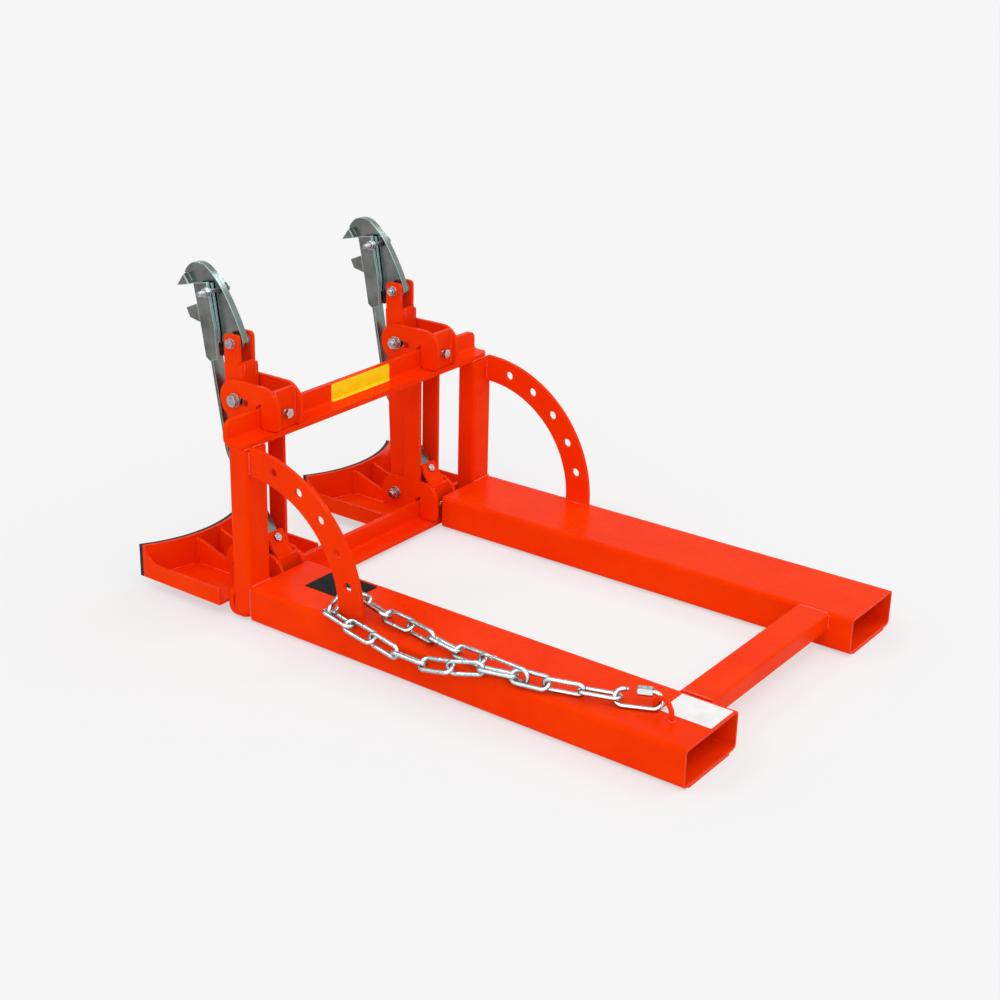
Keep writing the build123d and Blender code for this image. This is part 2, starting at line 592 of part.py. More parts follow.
for side_name, y_mid in UNIT_Y.items():
    side = HEAD_SIDE[side_name]
    top_low = RAIL_LOW + RAIL_PITCH

    def mirrored(outline, inner, outer):
        return [slab(outline, *sorted((y_mid + s * inner, y_mid + s * outer))) for s in (1, -1)]

    def unit(name, *solids):
        save(f"{name}_{side_name}", *solids)

    unit("carriage_side_plates", *mirrored(side_plate_outline(), SIDE_IN, SIDE_OUT))
    unit("carriage_cross_plates", cross_plate(RAIL_LOW, y_mid), cross_plate(top_low, y_mid))
    unit("clamp_screw_bottom", clamp_screw(RAIL_LOW, y_mid))
    unit("clamp_screw_top", clamp_screw(top_low, y_mid))
    unit("strap_lug", strap_lug(y_mid))
    unit("lug_bolt", *lug_bolt(y_mid))
    spacer = (MAST_OUT + RUN_GAP, SIDE_IN - WELD_GAP)
    pivot = cross_bolt(PIVOT_X, LOW_Z, y_mid, side, SIDE_OUT, PIVOT_D, PIVOT_AF, BOLT_TAIL)
    pivot += mirrored(Pos(PIVOT_X, LOW_Z) * ring_outline(PIVOT_D, PIVOT_D / 2 + BOLT_FIT), *spacer)
    unit("lower_pivot_bolt", *pivot)

    unit("saddle_face", curved_strip(y_mid, FACE_R, BACK_R, SADDLE_LOW, SADDLE_LOW + SADDLE_H))
    unit("saddle_rubber", curved_strip(y_mid, SADDLE_R, FACE_R - WELD_GAP, SADDLE_LOW, SADDLE_LOW + SADDLE_H))
    unit("saddle_tray", saddle_tray(y_mid))
    unit("saddle_ribs", saddle_rib(y_mid, 1), saddle_rib(y_mid, -1))

    unit("mast_side_plates", *mirrored(mast_outline(), MAST_IN, MAST_OUT))
    unit("mast_web", mast_web(y_mid))
    guide = cross_bolt(PIVOT_X, TOP_Z, y_mid, side, SIDE_OUT + RUN_GAP, PIVOT_D, PIVOT_AF, BOLT_TAIL)
    guide_ring = Pos(PIVOT_X, TOP_Z) * ring_outline(PIVOT_D, PIVOT_D / 2 + BOLT_FIT)
    guide += mirrored(guide_ring, MAST_OUT + WELD_GAP, SIDE_IN - RUN_GAP)
    unit("guide_bolt", *guide)
    clevis = cross_bolt(CLEVIS_X, CLEVIS_Z, y_mid, side, MAST_OUT, CLEVIS_D, CLEVIS_AF, BOLT_TAIL)
    unit("clevis_bolt", *clevis)
    spacer_ring = Pos(CLEVIS_X, CLEVIS_Z) * ring_outline(1.3 * CLEVIS_D, CLEVIS_D / 2 + BOLT_FIT)
    unit("beak_spacers", *mirrored(spacer_ring, BEAK_T / 2 + RUN_GAP, MAST_IN - WELD_GAP))

    unit("beak", slab(beak_outline(), y_mid - BEAK_T / 2, y_mid + BEAK_T / 2))
    unit("beak_tooth", slab(polygon(*TOOTH), y_mid - TOOTH_HALF, y_mid + TOOTH_HALF))

    inner_plates = mirrored(inner_outline(), INNER_IN, INNER_IN + INNER_T)
    unit("jaw_plates", *mirrored(cheek_outline(), CHEEK_IN, CHEEK_OUT), *inner_plates)
    unit("jaw_lip", slab(polygon(*LIP), y_mid - CHEEK_OUT, y_mid + CHEEK_OUT))
    unit("jaw_strap", strap(y_mid))
    unit("link_bolt", *cross_bolt(LINK_X, LINK_Z, y_mid, -1, CHEEK_OUT, CLEVIS_D, CLEVIS_AF, LINK_TAIL))


# Safety chain: bent rings of round wire, drawn with a few straight sides each
def unit_vector(degrees):
    return Vector(math.cos(math.radians(degrees)), math.sin(math.radians(degrees)), 0)


def round_of_wire(wire):
    return RegularPolygon(wire / 2, WIRE_SIDES)


def half_ring(x, r, turn):
    """Corner points of one rounded end, from the one leg to the other."""
    angles = [math.radians(turn - 90 + 180 * k / BEND_SIDES) for k in range(BEND_SIDES + 1)]
    return [(x + r * math.cos(a), r * math.sin(a)) for a in angles]


def leg_offset(width):
    return (width - WIRE) / 2


def end_centre(inner, width):
    """Distance from a ring's middle to the centre of its rounded end."""
    return (inner + WIRE) / 2 - leg_offset(width)


def bent(points, direction):
    section = Plane(origin=(*points[0], 0), z_dir=direction) * round_of_wire(WIRE)
    return sweep(section, path=Wire(Polyline(*points).edges()), transition=Transition.RIGHT)


def oval(inner, width):
    """A long closed ring in the XY plane, its length along X."""
    r = leg_offset(width)
    half = end_centre(inner, width)
    points = [(0, -r)] + half_ring(half, r, 0) + half_ring(-half, r, 180) + [(0, -r)]
    return bent(points, (1, 0, 0))


def open_oval(inner, width, gap_rear, gap_front):
    """The same ring, its upper leg open between two places."""
    r = leg_offset(width)
    half = end_centre(inner, width)
    points = [(gap_rear, r)] + half_ring(-half, r, 180) + half_ring(half, r, 0) + [(gap_front, r)]
    return bent(points, (-1, 0, 0))


def ring_plane(start, end, turn):
    """Middle of a ring between two bearing points, its normal raised by so many degrees on the outer side."""
    line = (end - start).normalized()
    outer = Vector(0, 0, 1).cross(line).normalized()
    outer = outer if outer.Y > 0 else -outer
    rise = outer.cross(line).normalized()
    rise = rise if rise.Z > 0 else -rise
    normal = outer * math.cos(math.radians(turn)) + rise * math.sin(math.radians(turn))
    return Plane(origin=(start + end) / 2, x_dir=line, z_dir=normal)


def on_pocket(along, outward, above):
    return Vector(along, FORK_GAUGE / 2 + outward, POCKET_H + above)


# Eye: a bent rod welded on the left pocket
def hoop(r, rise, wire):
    """A round bar bent to a staple: two legs and a half ring."""
    turns = [math.pi * k / BEND_SIDES for k in range(BEND_SIDES + 1)]
    points = [(-r, 0)] + [(-r * math.cos(t), rise + r * math.sin(t)) for t in turns] + [(r, 0)]
    section = Plane(origin=(-r, 0, 0), z_dir=(0, 1, 0)) * round_of_wire(wire)
    return sweep(section, path=Wire(Polyline(*points).edges()), transition=Transition.RIGHT)


EYE_R = EYE_SPAN / 2
eye_dir = unit_vector(EYE_TURN)
eye_mid = on_pocket(*EYE_FRONT, WELD_GAP) + eye_dir * EYE_R
eye_plane = Plane(origin=eye_mid, x_dir=eye_dir, z_dir=eye_dir.cross(Vector(0, 0, 1)))
save("chain_eye", eye_plane * hoop(EYE_R, EYE_H - EYE_WIRE / 2 - EYE_R, EYE_WIRE))

# Links: the outer strand runs forward and droops over the pocket's side, the inner one comes back
links = []
for k, turn in enumerate(CHAIN_TURNS):
    place = ring_plane(on_pocket(*CHAIN_JOINTS[k]), on_pocket(*CHAIN_JOINTS[k + 1]), turn)
    links.append(place * oval(LINK_IN, LINK_W))
save("chain_links", *links)

# Quick link: its rear end round the eye's front leg, its sleeve screwed back
quick_r = leg_offset(QUICK_W)
quick_high = WIRE / 2 + RUN_GAP + quick_r * math.cos(math.radians(45))
quick_rear = on_pocket(*EYE_FRONT, quick_high) - unit_vector(QUICK_TURN) * (EYE_WIRE / 2 + EYE_PLAY)
quick_front = quick_rear + unit_vector(QUICK_TURN) * QUICK_IN
quick_plane = ring_plane(quick_rear, quick_front, QUICK_ROLL)
sleeve_rear = RUN_GAP - end_centre(QUICK_IN, QUICK_W)
sleeve_front = sleeve_rear + SLEEVE_L
quick_ring = open_oval(QUICK_IN, QUICK_W, sleeve_front - 2 * RUN_GAP, sleeve_front + QUICK_GAP)
save("quick_link", quick_plane * quick_ring)
sleeve_ring = Pos(quick_r, 0) * (hexagon(SLEEVE_AF) - Circle(WIRE / 2 + PIN_FIT))
save("quick_link_sleeve", quick_plane * extrude(Plane.YZ.offset(sleeve_rear) * sleeve_ring, amount=SLEEVE_L))

# Snap hook: a long ring in the last link, its gate hinged on a pin in a flat tongue
hook_plane = ring_plane(on_pocket(*CHAIN_JOINTS[-1]), on_pocket(*HOOK_END), 0)
hook_r = leg_offset(HOOK_W)
pin_x = GATE_TIP - GATE_L
stub_end = pin_x - 2 * GATE_D
tongue_r = GATE_D / 2


def across(outline, half):
    """A piece standing equally to both sides of the ring's own plane."""
    return extrude(outline, amount=half, both=True)


tongue = Pos(pin_x, hook_r) * Circle(tongue_r)
tongue += Pos((stub_end + pin_x) / 2 - 1, hook_r) * Rectangle(pin_x - stub_end + 2, GATE_D)
hook = open_oval(HOOK_IN, HOOK_W, stub_end, GATE_TIP + 2 * RUN_GAP) + across(tongue, TONGUE_T / 2)
hook -= across(Pos(pin_x, hook_r) * Circle(GATE_PIN / 2 + BOLT_FIT), WIRE)
cheek_in = TONGUE_T / 2 + RUN_GAP
cheek_half = GATE_D / 2 + RUN_GAP
pin = across(Pos(pin_x, hook_r) * Circle(GATE_PIN / 2), cheek_half + RUN_GAP)
pin_head = Pos(pin_x, hook_r) * Circle(GATE_PIN)
for s in (1, -1):
    pin += extrude(Plane.XY.offset(s * (cheek_half + WELD_GAP)) * pin_head, amount=s * PIN_HEAD_T)
save("snap_hook", hook_plane * hook, hook_plane * pin)
reach = pin_x + tongue_r + RUN_GAP
cheeks = Pos(pin_x, hook_r) * Circle(tongue_r)
cheeks += Pos((pin_x + reach) / 2 + 1, hook_r) * Rectangle(reach - pin_x + 2, GATE_D)
gate = across(cheeks, cheek_half) - across(Pos(pin_x, hook_r) * Circle(tongue_r + RUN_GAP), cheek_in)
gate += extrude(Plane.YZ.offset(reach) * (Pos(hook_r, 0) * round_of_wire(GATE_D)), amount=GATE_TIP - reach)
gate -= across(Pos(pin_x, hook_r) * Circle(GATE_PIN / 2 + PIN_FIT), WIRE)
save("snap_hook_gate", hook_plane * gate)
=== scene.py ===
import bpy
import math
import numpy as np
from mathutils import Matrix


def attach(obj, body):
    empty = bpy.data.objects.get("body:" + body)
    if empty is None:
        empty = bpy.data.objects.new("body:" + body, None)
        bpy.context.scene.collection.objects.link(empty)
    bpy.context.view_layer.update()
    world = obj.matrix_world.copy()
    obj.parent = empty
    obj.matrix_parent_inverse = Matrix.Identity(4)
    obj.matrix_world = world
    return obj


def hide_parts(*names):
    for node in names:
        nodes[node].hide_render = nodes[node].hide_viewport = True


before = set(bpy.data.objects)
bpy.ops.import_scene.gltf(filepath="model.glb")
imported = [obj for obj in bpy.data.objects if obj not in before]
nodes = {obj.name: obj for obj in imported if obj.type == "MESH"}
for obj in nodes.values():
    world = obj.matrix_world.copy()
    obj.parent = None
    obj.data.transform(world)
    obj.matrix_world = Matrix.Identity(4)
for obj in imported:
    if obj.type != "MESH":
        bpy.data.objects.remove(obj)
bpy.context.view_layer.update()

# Camera: stands behind the pockets and to their left, a little above them, with a long lens.
# Its shift gives the photograph's framing.
HEADING, DIP, ROLL = -0.874960, -0.370917, -0.003432
CAMERA_AT = (-1.240888, 2.752657, 1.610325)
camera = bpy.data.objects.new("camera", bpy.data.cameras.new("camera"))
bpy.context.scene.collection.objects.link(camera)
bpy.context.scene.camera = camera
look = np.array((math.cos(DIP) * math.cos(HEADING), math.cos(DIP) * math.sin(HEADING), math.sin(DIP)))
level = np.cross(look, (0, 0, 1))
level /= np.linalg.norm(level)
raised = np.cross(level, look)
placing = np.eye(4)
placing[:3, 0] = math.cos(ROLL) * level + math.sin(ROLL) * raised
placing[:3, 1] = math.cos(ROLL) * raised - math.sin(ROLL) * level
placing[:3, 2] = -look
placing[:3, 3] = CAMERA_AT
camera.matrix_world = Matrix(placing.tolist())
camera.data.lens = 61.0
camera.data.shift_x = 0.1233
camera.data.shift_y = -0.0289
camera.data.clip_start = 0.05
camera.data.clip_end = 90
bpy.context.scene.view_settings.view_transform = "Standard"

# Studio: a wide pale floor, an even pale surround and four distant lamps, for light with hardly a shadow.
# Floor and surround look plain and pale to the camera and in gloss, and throw less light than that.
PALE = (0.92, 0.92, 0.92, 1)
SURROUND_LIGHT = 0.62
FLOOR_TONE = (0.885, 0.885, 0.885, 1)
FLOOR_PLAIN = 0.6
FLOOR_Z = -0.0052
LAMP_OUT = 5


def join(tree, node, **inputs):
    """Set a node's inputs, each called by its name or by i and its number. Where a node or an output is
    given as the value, it is linked."""
    for name, value in inputs.items():
        socket = node.inputs[int(name[1:]) if name[1:].isdigit() else name.replace("_", " ")]
        if isinstance(value, bpy.types.Node):
            value = value.outputs[0]
        if isinstance(value, bpy.types.NodeSocket):
            tree.links.new(value, socket)
        else:
            socket.default_value = value
    return node


def wired(tree, kind, operation=None, **inputs):
    """A new node of one kind with its inputs."""
    node = tree.nodes.new(kind)
    if operation:
        node.operation = operation
    return join(tree, node, **inputs)


def mapped(tree, amount, low, high, first=0.0, last=1.0):
    """An amount's span from low to high, spread evenly from first to last and held beyond them."""
    return wired(tree, "ShaderNodeMapRange", i0=amount, i1=low, i2=high, i3=first, i4=last)


def directly_seen(tree):
    """1 for a ray from the camera, from gloss or through glass, else 0: the greatest of the three."""
    ray = tree.nodes.new("ShaderNodeLightPath").outputs
    seen = wired(tree, "ShaderNodeMath", "MAXIMUM", i0=ray["Is Camera Ray"], i1=ray["Is Glossy Ray"])
    return wired(tree, "ShaderNodeMath", "MAXIMUM", i0=seen, i1=ray["Is Transmission Ray"])


def new_finish(name, **inputs):
    """A material with its node tree and its shader, some of the shader's inputs set."""
    finish = bpy.data.materials.new(name)
    finish.use_nodes = True
    tree = finish.node_tree
    return finish, tree, join(tree, tree.nodes["Principled BSDF"], **inputs)


def mesh_object(name, points, faces, finish, smooth=True):
    """A mesh in one finish, from points and from faces that number them."""
    mesh = bpy.data.meshes.new(name)
    mesh.from_pydata(np.asarray(points, float).tolist(), [], [list(map(int, face)) for face in faces])
    mesh.update()
    mesh.polygons.foreach_set("use_smooth", [smooth] * len(mesh.polygons))
    mesh.materials.append(finish)
    made = bpy.data.objects.new(name, mesh)
    bpy.context.scene.collection.objects.link(made)
    return made


def distant_lamp(name, towards, energy, spread=1.0):
    """A lamp far off in one direction, softer with a wider spread. It shines back along that direction."""
    lamp = bpy.data.objects.new(name, bpy.data.lights.new(name, "SUN"))
    bpy.context.scene.collection.objects.link(lamp)
    lamp.data.energy = energy
    lamp.data.angle = spread
    back = np.array(towards) / np.linalg.norm(towards)
    right = np.cross((0, 0, 1), back)
    right /= np.linalg.norm(right)
    turned = np.eye(4)
    turned[:3] = np.stack([right, np.cross(back, right), back, LAMP_OUT * back], 1)
    lamp.matrix_world = Matrix(turned.tolist())


surround = bpy.data.worlds.new("surround")
bpy.context.scene.world = surround
surround.use_nodes = True
tree = surround.node_tree
tree.nodes.clear()
strength = mapped(tree, directly_seen(tree), 0.0, 1.0, SURROUND_LIGHT, 1.0)
shine = wired(tree, "ShaderNodeBackground", Color=PALE, Strength=strength)
wired(tree, "ShaderNodeOutputWorld", i0=shine)

floor_finish, tree, lit = new_finish(
    "floor_finish", Base_Color=FLOOR_TONE, Roughness=0.9, Specular_IOR_Level=0.0)
share = wired(tree, "ShaderNodeMath", "MULTIPLY", i0=directly_seen(tree), i1=FLOOR_PLAIN)
plain = wired(tree, "ShaderNodeEmission", Color=PALE, Strength=1.0)
laid = wired(tree, "ShaderNodeMixShader", i0=share, i1=lit, i2=plain)
join(tree, tree.nodes["Material Output"], i0=laid)
corners = [(x, y, FLOOR_Z) for x, y in ((-40, -40), (42, -40), (42, 40), (-40, 40))]
floor = mesh_object("floor", corners, [(0, 1, 2, 3)], floor_finish, False)

distant_lamp("key_lamp", (-0.45, 1.0, 1.25), 1.0)
distant_lamp("fill_lamp", (-1.0, -0.35, 1.6), 0.55)
distant_lamp("side_spark_lamp", (0.62, 0.50, 0.75), 0.24, 0.22)
distant_lamp("front_spark_lamp", (-0.35, -0.75, 0.80), 0.20, 0.22)

# Fork pockets, wear pads and rear cross member: closed steel tubes and flats, welded up, blasted and powder
# coated red-orange. The coat is glossy, with a fine orange peel, slightly deeper and duller patches, and
# soft edges.
RED_DEEP, RED_BRIGHT = (0.89, 0.032, 0.0004, 1), (0.94, 0.045, 0.0006, 1)
COAT_TINT = (1.0, 0.45, 0.22, 1)


def object_place(tree):
    """Where a point lies in its own object."""
    return tree.nodes.new("ShaderNodeTexCoord").outputs["Object"]


def noise(tree, place, scale, detail, **inputs):
    """Soft clouds from 0 to 1, so many to the metre, with finer ones laid over them."""
    return wired(tree, "ShaderNodeTexNoise", Vector=place, Scale=scale, Detail=detail, **inputs)


def blended(tree, amount, first, second):
    """A colour between two, by an amount from 0 to 1."""
    mix = tree.nodes.new("ShaderNodeMix")
    mix.data_type = "RGBA"
    return join(tree, mix, i0=amount, i6=first, i7=second).outputs[2]


def rounded_normal(tree, radius, samples):
    """The way out of a surface as if its edges were rounded to a radius."""
    bevel = tree.nodes.new("ShaderNodeBevel")
    bevel.samples = samples
    return join(tree, bevel, Radius=radius)


def flatness(tree, rounded):
    """1 on flat ground and less towards an edge: the rounded way out times the face's own."""
    own = tree.nodes.new("ShaderNodeNewGeometry").outputs["Normal"]
    return wired(tree, "ShaderNodeVectorMath", "DOT_PRODUCT", i0=rounded, i1=own).outputs["Value"]


def coated(name, gloss=0.24, glaze=0.0):
    """Powder coat: two close tones clouded by slow noise, gloss that varies, a fine peel, and rounded edges
    on which the coat lies thick and glints."""
    finish, tree, shader = new_finish(
        name, Coat_Roughness=0.07, Specular_IOR_Level=0.03, Specular_Tint=COAT_TINT)
    place = object_place(tree)
    cloud = noise(tree, place, 7.0, 4.0, Roughness=0.55)
    tone = blended(tree, mapped(tree, cloud, 0.32, 0.68), RED_DEEP, RED_BRIGHT)
    dull = mapped(tree, noise(tree, place, 38.0, 3.0), 0.3, 0.7, gloss - 0.05, gloss + 0.12)
    peel = noise(tree, place, 420.0, 2.0)
    rounded = rounded_normal(tree, 0.0012, 4)
    skin = wired(tree, "ShaderNodeBump", Strength=0.012, Distance=0.0006, Height=peel, Normal=rounded)
    glint = mapped(tree, flatness(tree, rounded), 0.995, 0.93, glaze, 0.9)
    join(tree, shader, Base_Color=tone, Roughness=dull, Normal=skin, Coat_Weight=glint)
    return finish


def dressed(finish, *names):
    """Give CAD nodes a finish."""
    for name in names:
        nodes[name].data.materials.clear()
        nodes[name].data.materials.append(finish)


red_coat = coated("red_coat")
dressed(red_coat, "fork_pocket_left", "fork_pocket_right", "wear_pads", "rear_cross_member")

# Posts, rails, quarter rings and chain eye: upright tubes on the pockets' front ends, with bent angles
# across them, plates cut by profile between post and pocket, and a bent rod. All are steel, welded on and
# coated together with the pockets.
dressed(red_coat, "post_left", "post_right", "top_rail", "bottom_rail")
dressed(red_coat, "arc_plate_left", "arc_plate_right", "chain_eye")

# Frame welds: fillet beads where the tubes, rails, rings and pads meet, coated with the steel.
# They are one mesh, and those round the feet of the eye another. Both ride on the frame.
POCKET_MID, POCKET_TOP = 0.332, 0.080
BEAD_REST = 0.0003
POST_REAR = 1.0515
POST_SPAN = np.array((0.3625, 0.4255))
RING_SIDES = (0.4175, 0.4075)
RING_FOOT, RING_HEAD = (0.7510, 0.8115), (0.332, 0.384)
RAIL_BACK, RAIL_SPAN = 1.0618, np.array((0.3640, 0.4240))
MEMBER_SPAN, MEMBER_SIDES = (0.0535, 0.1205), (0.0517, 0.1223)
PAD_STARTS, PAD_HALF = (0.0, 0.4735, 0.947), 0.0752
EYE_FEET, EYE_FOOT_R = ((0.119, 0.332), (0.07297, 0.35154)), 0.0058
RIPPLE = 0.0045
BEAD_SIDES = 8


def grid_faces(rows, columns, looped=False):
    """Four-sided faces between rows of points. Each row closes on itself, and so do the rows if looped."""
    row = np.arange(rows if looped else rows - 1)[:, None]
    column = np.arange(columns)[None]
    here, there, beside = row * columns, (row + 1) % rows * columns, (column + 1) % columns
    return np.stack([here + column, here + beside, there + beside, there + column], -1).reshape(-1, 4)


def joined(parts):
    """Parts of points and faces as one: the faces of each count on from the points before it."""
    starts = np.cumsum([0] + [len(points) for points, _ in parts])
    faces = [[start + k for k in face] for (_, faces), start in zip(parts, starts) for face in faces]
    return np.concatenate([points for points, _ in parts]), faces


def lengths(line):
    """The distance along a line at each of its points: the sum of the steps before it."""
    return np.concatenate([[0], np.cumsum(np.linalg.norm(np.diff(line, axis=0), axis=1))])


def read_off(line, along, s):
    """A line's points at other distances along it, straight between its own."""
    return np.stack([np.interp(s, along, column) for column in line.T], 1)


def seam(x, y, z):
    """A line of points. Each of the three is one value for all of them, or a value for each."""
    return np.stack(np.broadcast_arrays(x, y, z), -1)


def weld_beads(name, runs, finish, body, radius):
    """Beads along lines of points, in one mesh, round in section. The radius swells in overlapping scales
    one ripple long, wanders slowly along the run, and closes to a point at both ends."""
    parts = []
    turn = np.arange(BEAD_SIDES) * 2 * math.pi / BEAD_SIDES
    for k, line in enumerate(runs):
        along = lengths(line)
        s = np.linspace(0, along[-1], max(8, int(4 * along[-1] / RIPPLE)) + 1)
        middle = read_off(line, along, s)
        tangent = np.gradient(middle, axis=0)
        tangent /= np.linalg.norm(tangent, axis=1)[:, None]
        side = np.cross(tangent, (0.31, 0.42, 0.85))
        side /= np.linalg.norm(side, axis=1)[:, None]
        other = np.cross(tangent, side)
        scale = (s / RIPPLE + 0.15 * np.sin(310 * s + k)) % 1
        r = radius * (0.78 + 0.26 * scale ** 1.5 + 0.07 * np.sin(150 * s + 2 * k))
        r *= np.sqrt(np.clip(np.minimum(s, s[-1] - s) / radius, 0.0004, 1))
        round_way = np.cos(turn)[:, None] * side[:, None] + np.sin(turn)[:, None] * other[:, None]
        ring = middle[:, None] + r[:, None, None] * round_way
        parts.append((ring.reshape(-1, 3), grid_faces(len(s), BEAD_SIDES)))
    bead = mesh_object(name, *joined(parts), finish)
    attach(bead, body)


red_weld = coated("red_weld", 0.12, 1.0)
runs = []
for side in (1, -1):
    post_foot = seam(POST_REAR, side * POST_SPAN, POCKET_TOP + BEAD_REST)
    post_corner = seam(1.0520, side * 0.4268, (0.012, 0.077))
    ring_feet = [seam(RING_FOOT, side * y, POCKET_TOP + BEAD_REST) for y in RING_SIDES]
    ring_heads = [seam(POST_REAR, side * y, RING_HEAD) for y in RING_SIDES]
    member_top = seam(MEMBER_SPAN, side * 0.2365, 0.0790)
    member_sides = [seam(x, side * 0.2368, (0.043, 0.077)) for x in MEMBER_SIDES]
    rail_ends = [seam(RAIL_BACK, side * RAIL_SPAN, z) for z in (0.3855, 0.0165)]
    pads = [seam((x + 0.012, x + 0.093), side * POCKET_MID + edge * PAD_HALF, -0.0008)
            for x in PAD_STARTS for edge in (1, -1)]
    runs += [post_foot, post_corner, *ring_feet, *ring_heads, member_top, *member_sides, *rail_ends, *pads]
weld_beads("frame_welds", runs, red_weld, "frame", 0.0030)
turn = np.linspace(0, 2 * math.pi, 25)
feet = [seam(x + EYE_FOOT_R * np.cos(turn), y + EYE_FOOT_R * np.sin(turn), POCKET_TOP + 0.0005)
        for x, y in EYE_FEET]
weld_beads("eye_welds", feet, red_weld, "frame", 0.0024)

# Bare plates: a yellow sign stuck on the top rail and into its root, a dark plate and a white sticker
# on the left pocket. They are thin coated sheets with rounded corners, glued down.
RAIL_ROOT_X, RAIL_ROOT_Z, RAIL_ROOT_R = 1.0960, 0.405, 0.0079
SIGN_TOP, SIGN_ACROSS = 0.4385, 0.200
GLUE = 0.0001


def capped_faces(rows, columns):
    """Faces of a closed bar: those between its rings of points, and one over each end."""
    ends = [list(range(columns))[::-1], list(range((rows - 1) * columns, rows * columns))]
    return grid_faces(rows, columns).tolist() + ends


def sheet_on(name, path, across, thick, corner, finish):
    """A thin sheet laid along a path and spread to both sides of it, its four corners rounded: at each step
    the half width is full, less the corner's quarter circle near the ends. Each row of the path is a point
    and the way out there."""
    line, out = np.array(path, float)[:, :3], np.array(path, float)[:, 3:]
    along = lengths(line)
    ease = corner * (1 - np.cos(np.linspace(0, math.pi / 2, 7)))
    s = np.unique(np.concatenate([ease, np.linspace(corner, along[-1] - corner, 24), along[-1] - ease]))
    near = np.clip(corner - np.minimum(s, along[-1] - s), 0, corner)
    half = across / 2 - corner + np.sqrt(np.maximum(corner ** 2 - near ** 2, 0))
    middle, normal = read_off(line, along, s), read_off(out, along, s)
    under = [middle - half[:, None] * (0, 1, 0), middle + half[:, None] * (0, 1, 0)]
    over = [side + thick * normal for side in under]
    ring = np.stack([under[0], over[0], over[1], under[1]], 1)
    sheet = mesh_object(name, ring.reshape(-1, 3), capped_faces(len(s), 4), finish, False)
    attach(sheet, "frame")


def toned(tree, amount, *stops):
    """A colour by an amount, evenly between stops that each have a place and a colour."""
    ramp = wired(tree, "ShaderNodeValToRGB", Fac=amount)
    elements = ramp.color_ramp.elements
    for k, (place, colour) in enumerate((stops[0], stops[-1])):
        elements[k].position = place
        elements[k].color = colour
    for place, colour in stops[1:-1]:
        elements.new(place).color = colour
    return ramp


def printed(name, first, second, scale, roughness, shine=0.3):
    """Coated sheet: one tone lightly clouded by another, with faint handling marks in its gloss and skin."""
    finish, tree, shader = new_finish(name, Specular_IOR_Level=shine)
    place = object_place(tree)
    tone = toned(tree, noise(tree, place, scale, 5.0), (0.38, first), (0.62, second))
    marks = noise(tree, place, scale * 6, 3.0)
    dull = mapped(tree, marks, 0.3, 0.7, roughness - 0.07, roughness + 0.1)
    skin = wired(tree, "ShaderNodeBump", Strength=0.08, Distance=0.0003, Height=marks)
    join(tree, shader, Base_Color=tone, Roughness=dull, Normal=skin)
    return finish


yellow = printed("yellow_print", (0.95, 0.70, 0.002, 1), (1.0, 0.78, 0.004, 1), 40.0, 0.38, 0.12)
sign_path = [(RAIL_ROOT_X + RAIL_ROOT_R, 0, z, -1, 0, 0) for z in (SIGN_TOP, RAIL_ROOT_Z)]
for angle in np.radians(np.linspace(0, 62, 9)[1:]):
    outward, down = math.cos(angle), math.sin(angle)
    x, z = RAIL_ROOT_X + RAIL_ROOT_R * outward, RAIL_ROOT_Z - RAIL_ROOT_R * down
    sign_path.append((x, 0, z, -outward, 0, down))
sheet_on("yellow_plate", sign_path, SIGN_ACROSS, 0.0005, 0.004, yellow)
dark = printed("dark_plate_print", (0.004, 0.004, 0.004, 1), (0.014, 0.012, 0.012, 1), 60.0, 0.32, 0.03)
white = printed("white_paper", (0.80, 0.80, 0.79, 1), (0.90, 0.90, 0.90, 1), 30.0, 0.55)
for name, ends, y, across, thick, finish in (("dark_plate", (0.846, 0.970), 0.2985, 0.093, 0.0008, dark),
                                             ("white_sticker", (0.004, 0.110), 0.2905, 0.081, 0.0004, white)):
    sheet_on(name, [(x, y, POCKET_TOP + GLUE, 0, 0, 1) for x in ends], across, thick, 0.002, finish)

# Carriages: two plates cut by profile for each gripper, hooked over both rails, with cross plates and a
# leaning lug. The saddle under them is a bent tray with two ribs and a curved face plate. All of it is
# steel, welded and powder coated like the frame.
UNITS = {"left": 0.2875, "right": -0.254}
CARRIAGE_PIECES = ("carriage_side_plates", "carriage_cross_plates", "strap_lug",
                   "saddle_face", "saddle_tray", "saddle_ribs")
for unit in UNITS:
    dressed(red_coat, *[f"{piece}_{unit}" for piece in CARRIAGE_PIECES])

# Carriage welds: fillet beads of cross plates into side plates, of the lug on the lower cross plate, and of
# ribs and face on the tray, coated with the steel. They ride on their carriage.
CROSS_STARTS, CROSS_HIGH, CROSS_SIDES = (0.020, 0.400), 0.083, (1.0676, 1.0774)
RIB_SPAN, RIB_END, RIB_SIDES = (1.214, 1.3090), 1.3105, (0.0389, 0.0301)
LUG_HALF = 0.023
SADDLE_X, SADDLE_R = 1.613, 0.3044
for unit, y in UNITS.items():
    runs = []
    for side in (1, -1):
        runs += [seam(x, y + side * 0.0300, (z, z + CROSS_HIGH)) for z in CROSS_STARTS for x in CROSS_SIDES]
        runs += [seam(RIB_SPAN, y + side * rib, 0.0303) for rib in RIB_SIDES]
        runs.append(seam(RIB_END, y + side * RIB_SIDES[0], (0.032, 0.091)))
    runs += [seam(x, (y - LUG_HALF, y + LUG_HALF), z) for x, z in ((1.0780, 0.1012), (1.0785, 0.0895))]
    bow = np.linspace(-0.150, 0.150, 61)
    for part in (bow[bow > 0.041], bow[bow < -0.041], bow[abs(bow) < 0.029]):
        runs.append(seam(SADDLE_X - np.sqrt(SADDLE_R ** 2 - part ** 2), y + part, 0.0304))
    weld_beads(f"carriage_welds_{unit}", runs, red_weld, f"carriage_{unit}", 0.0028)

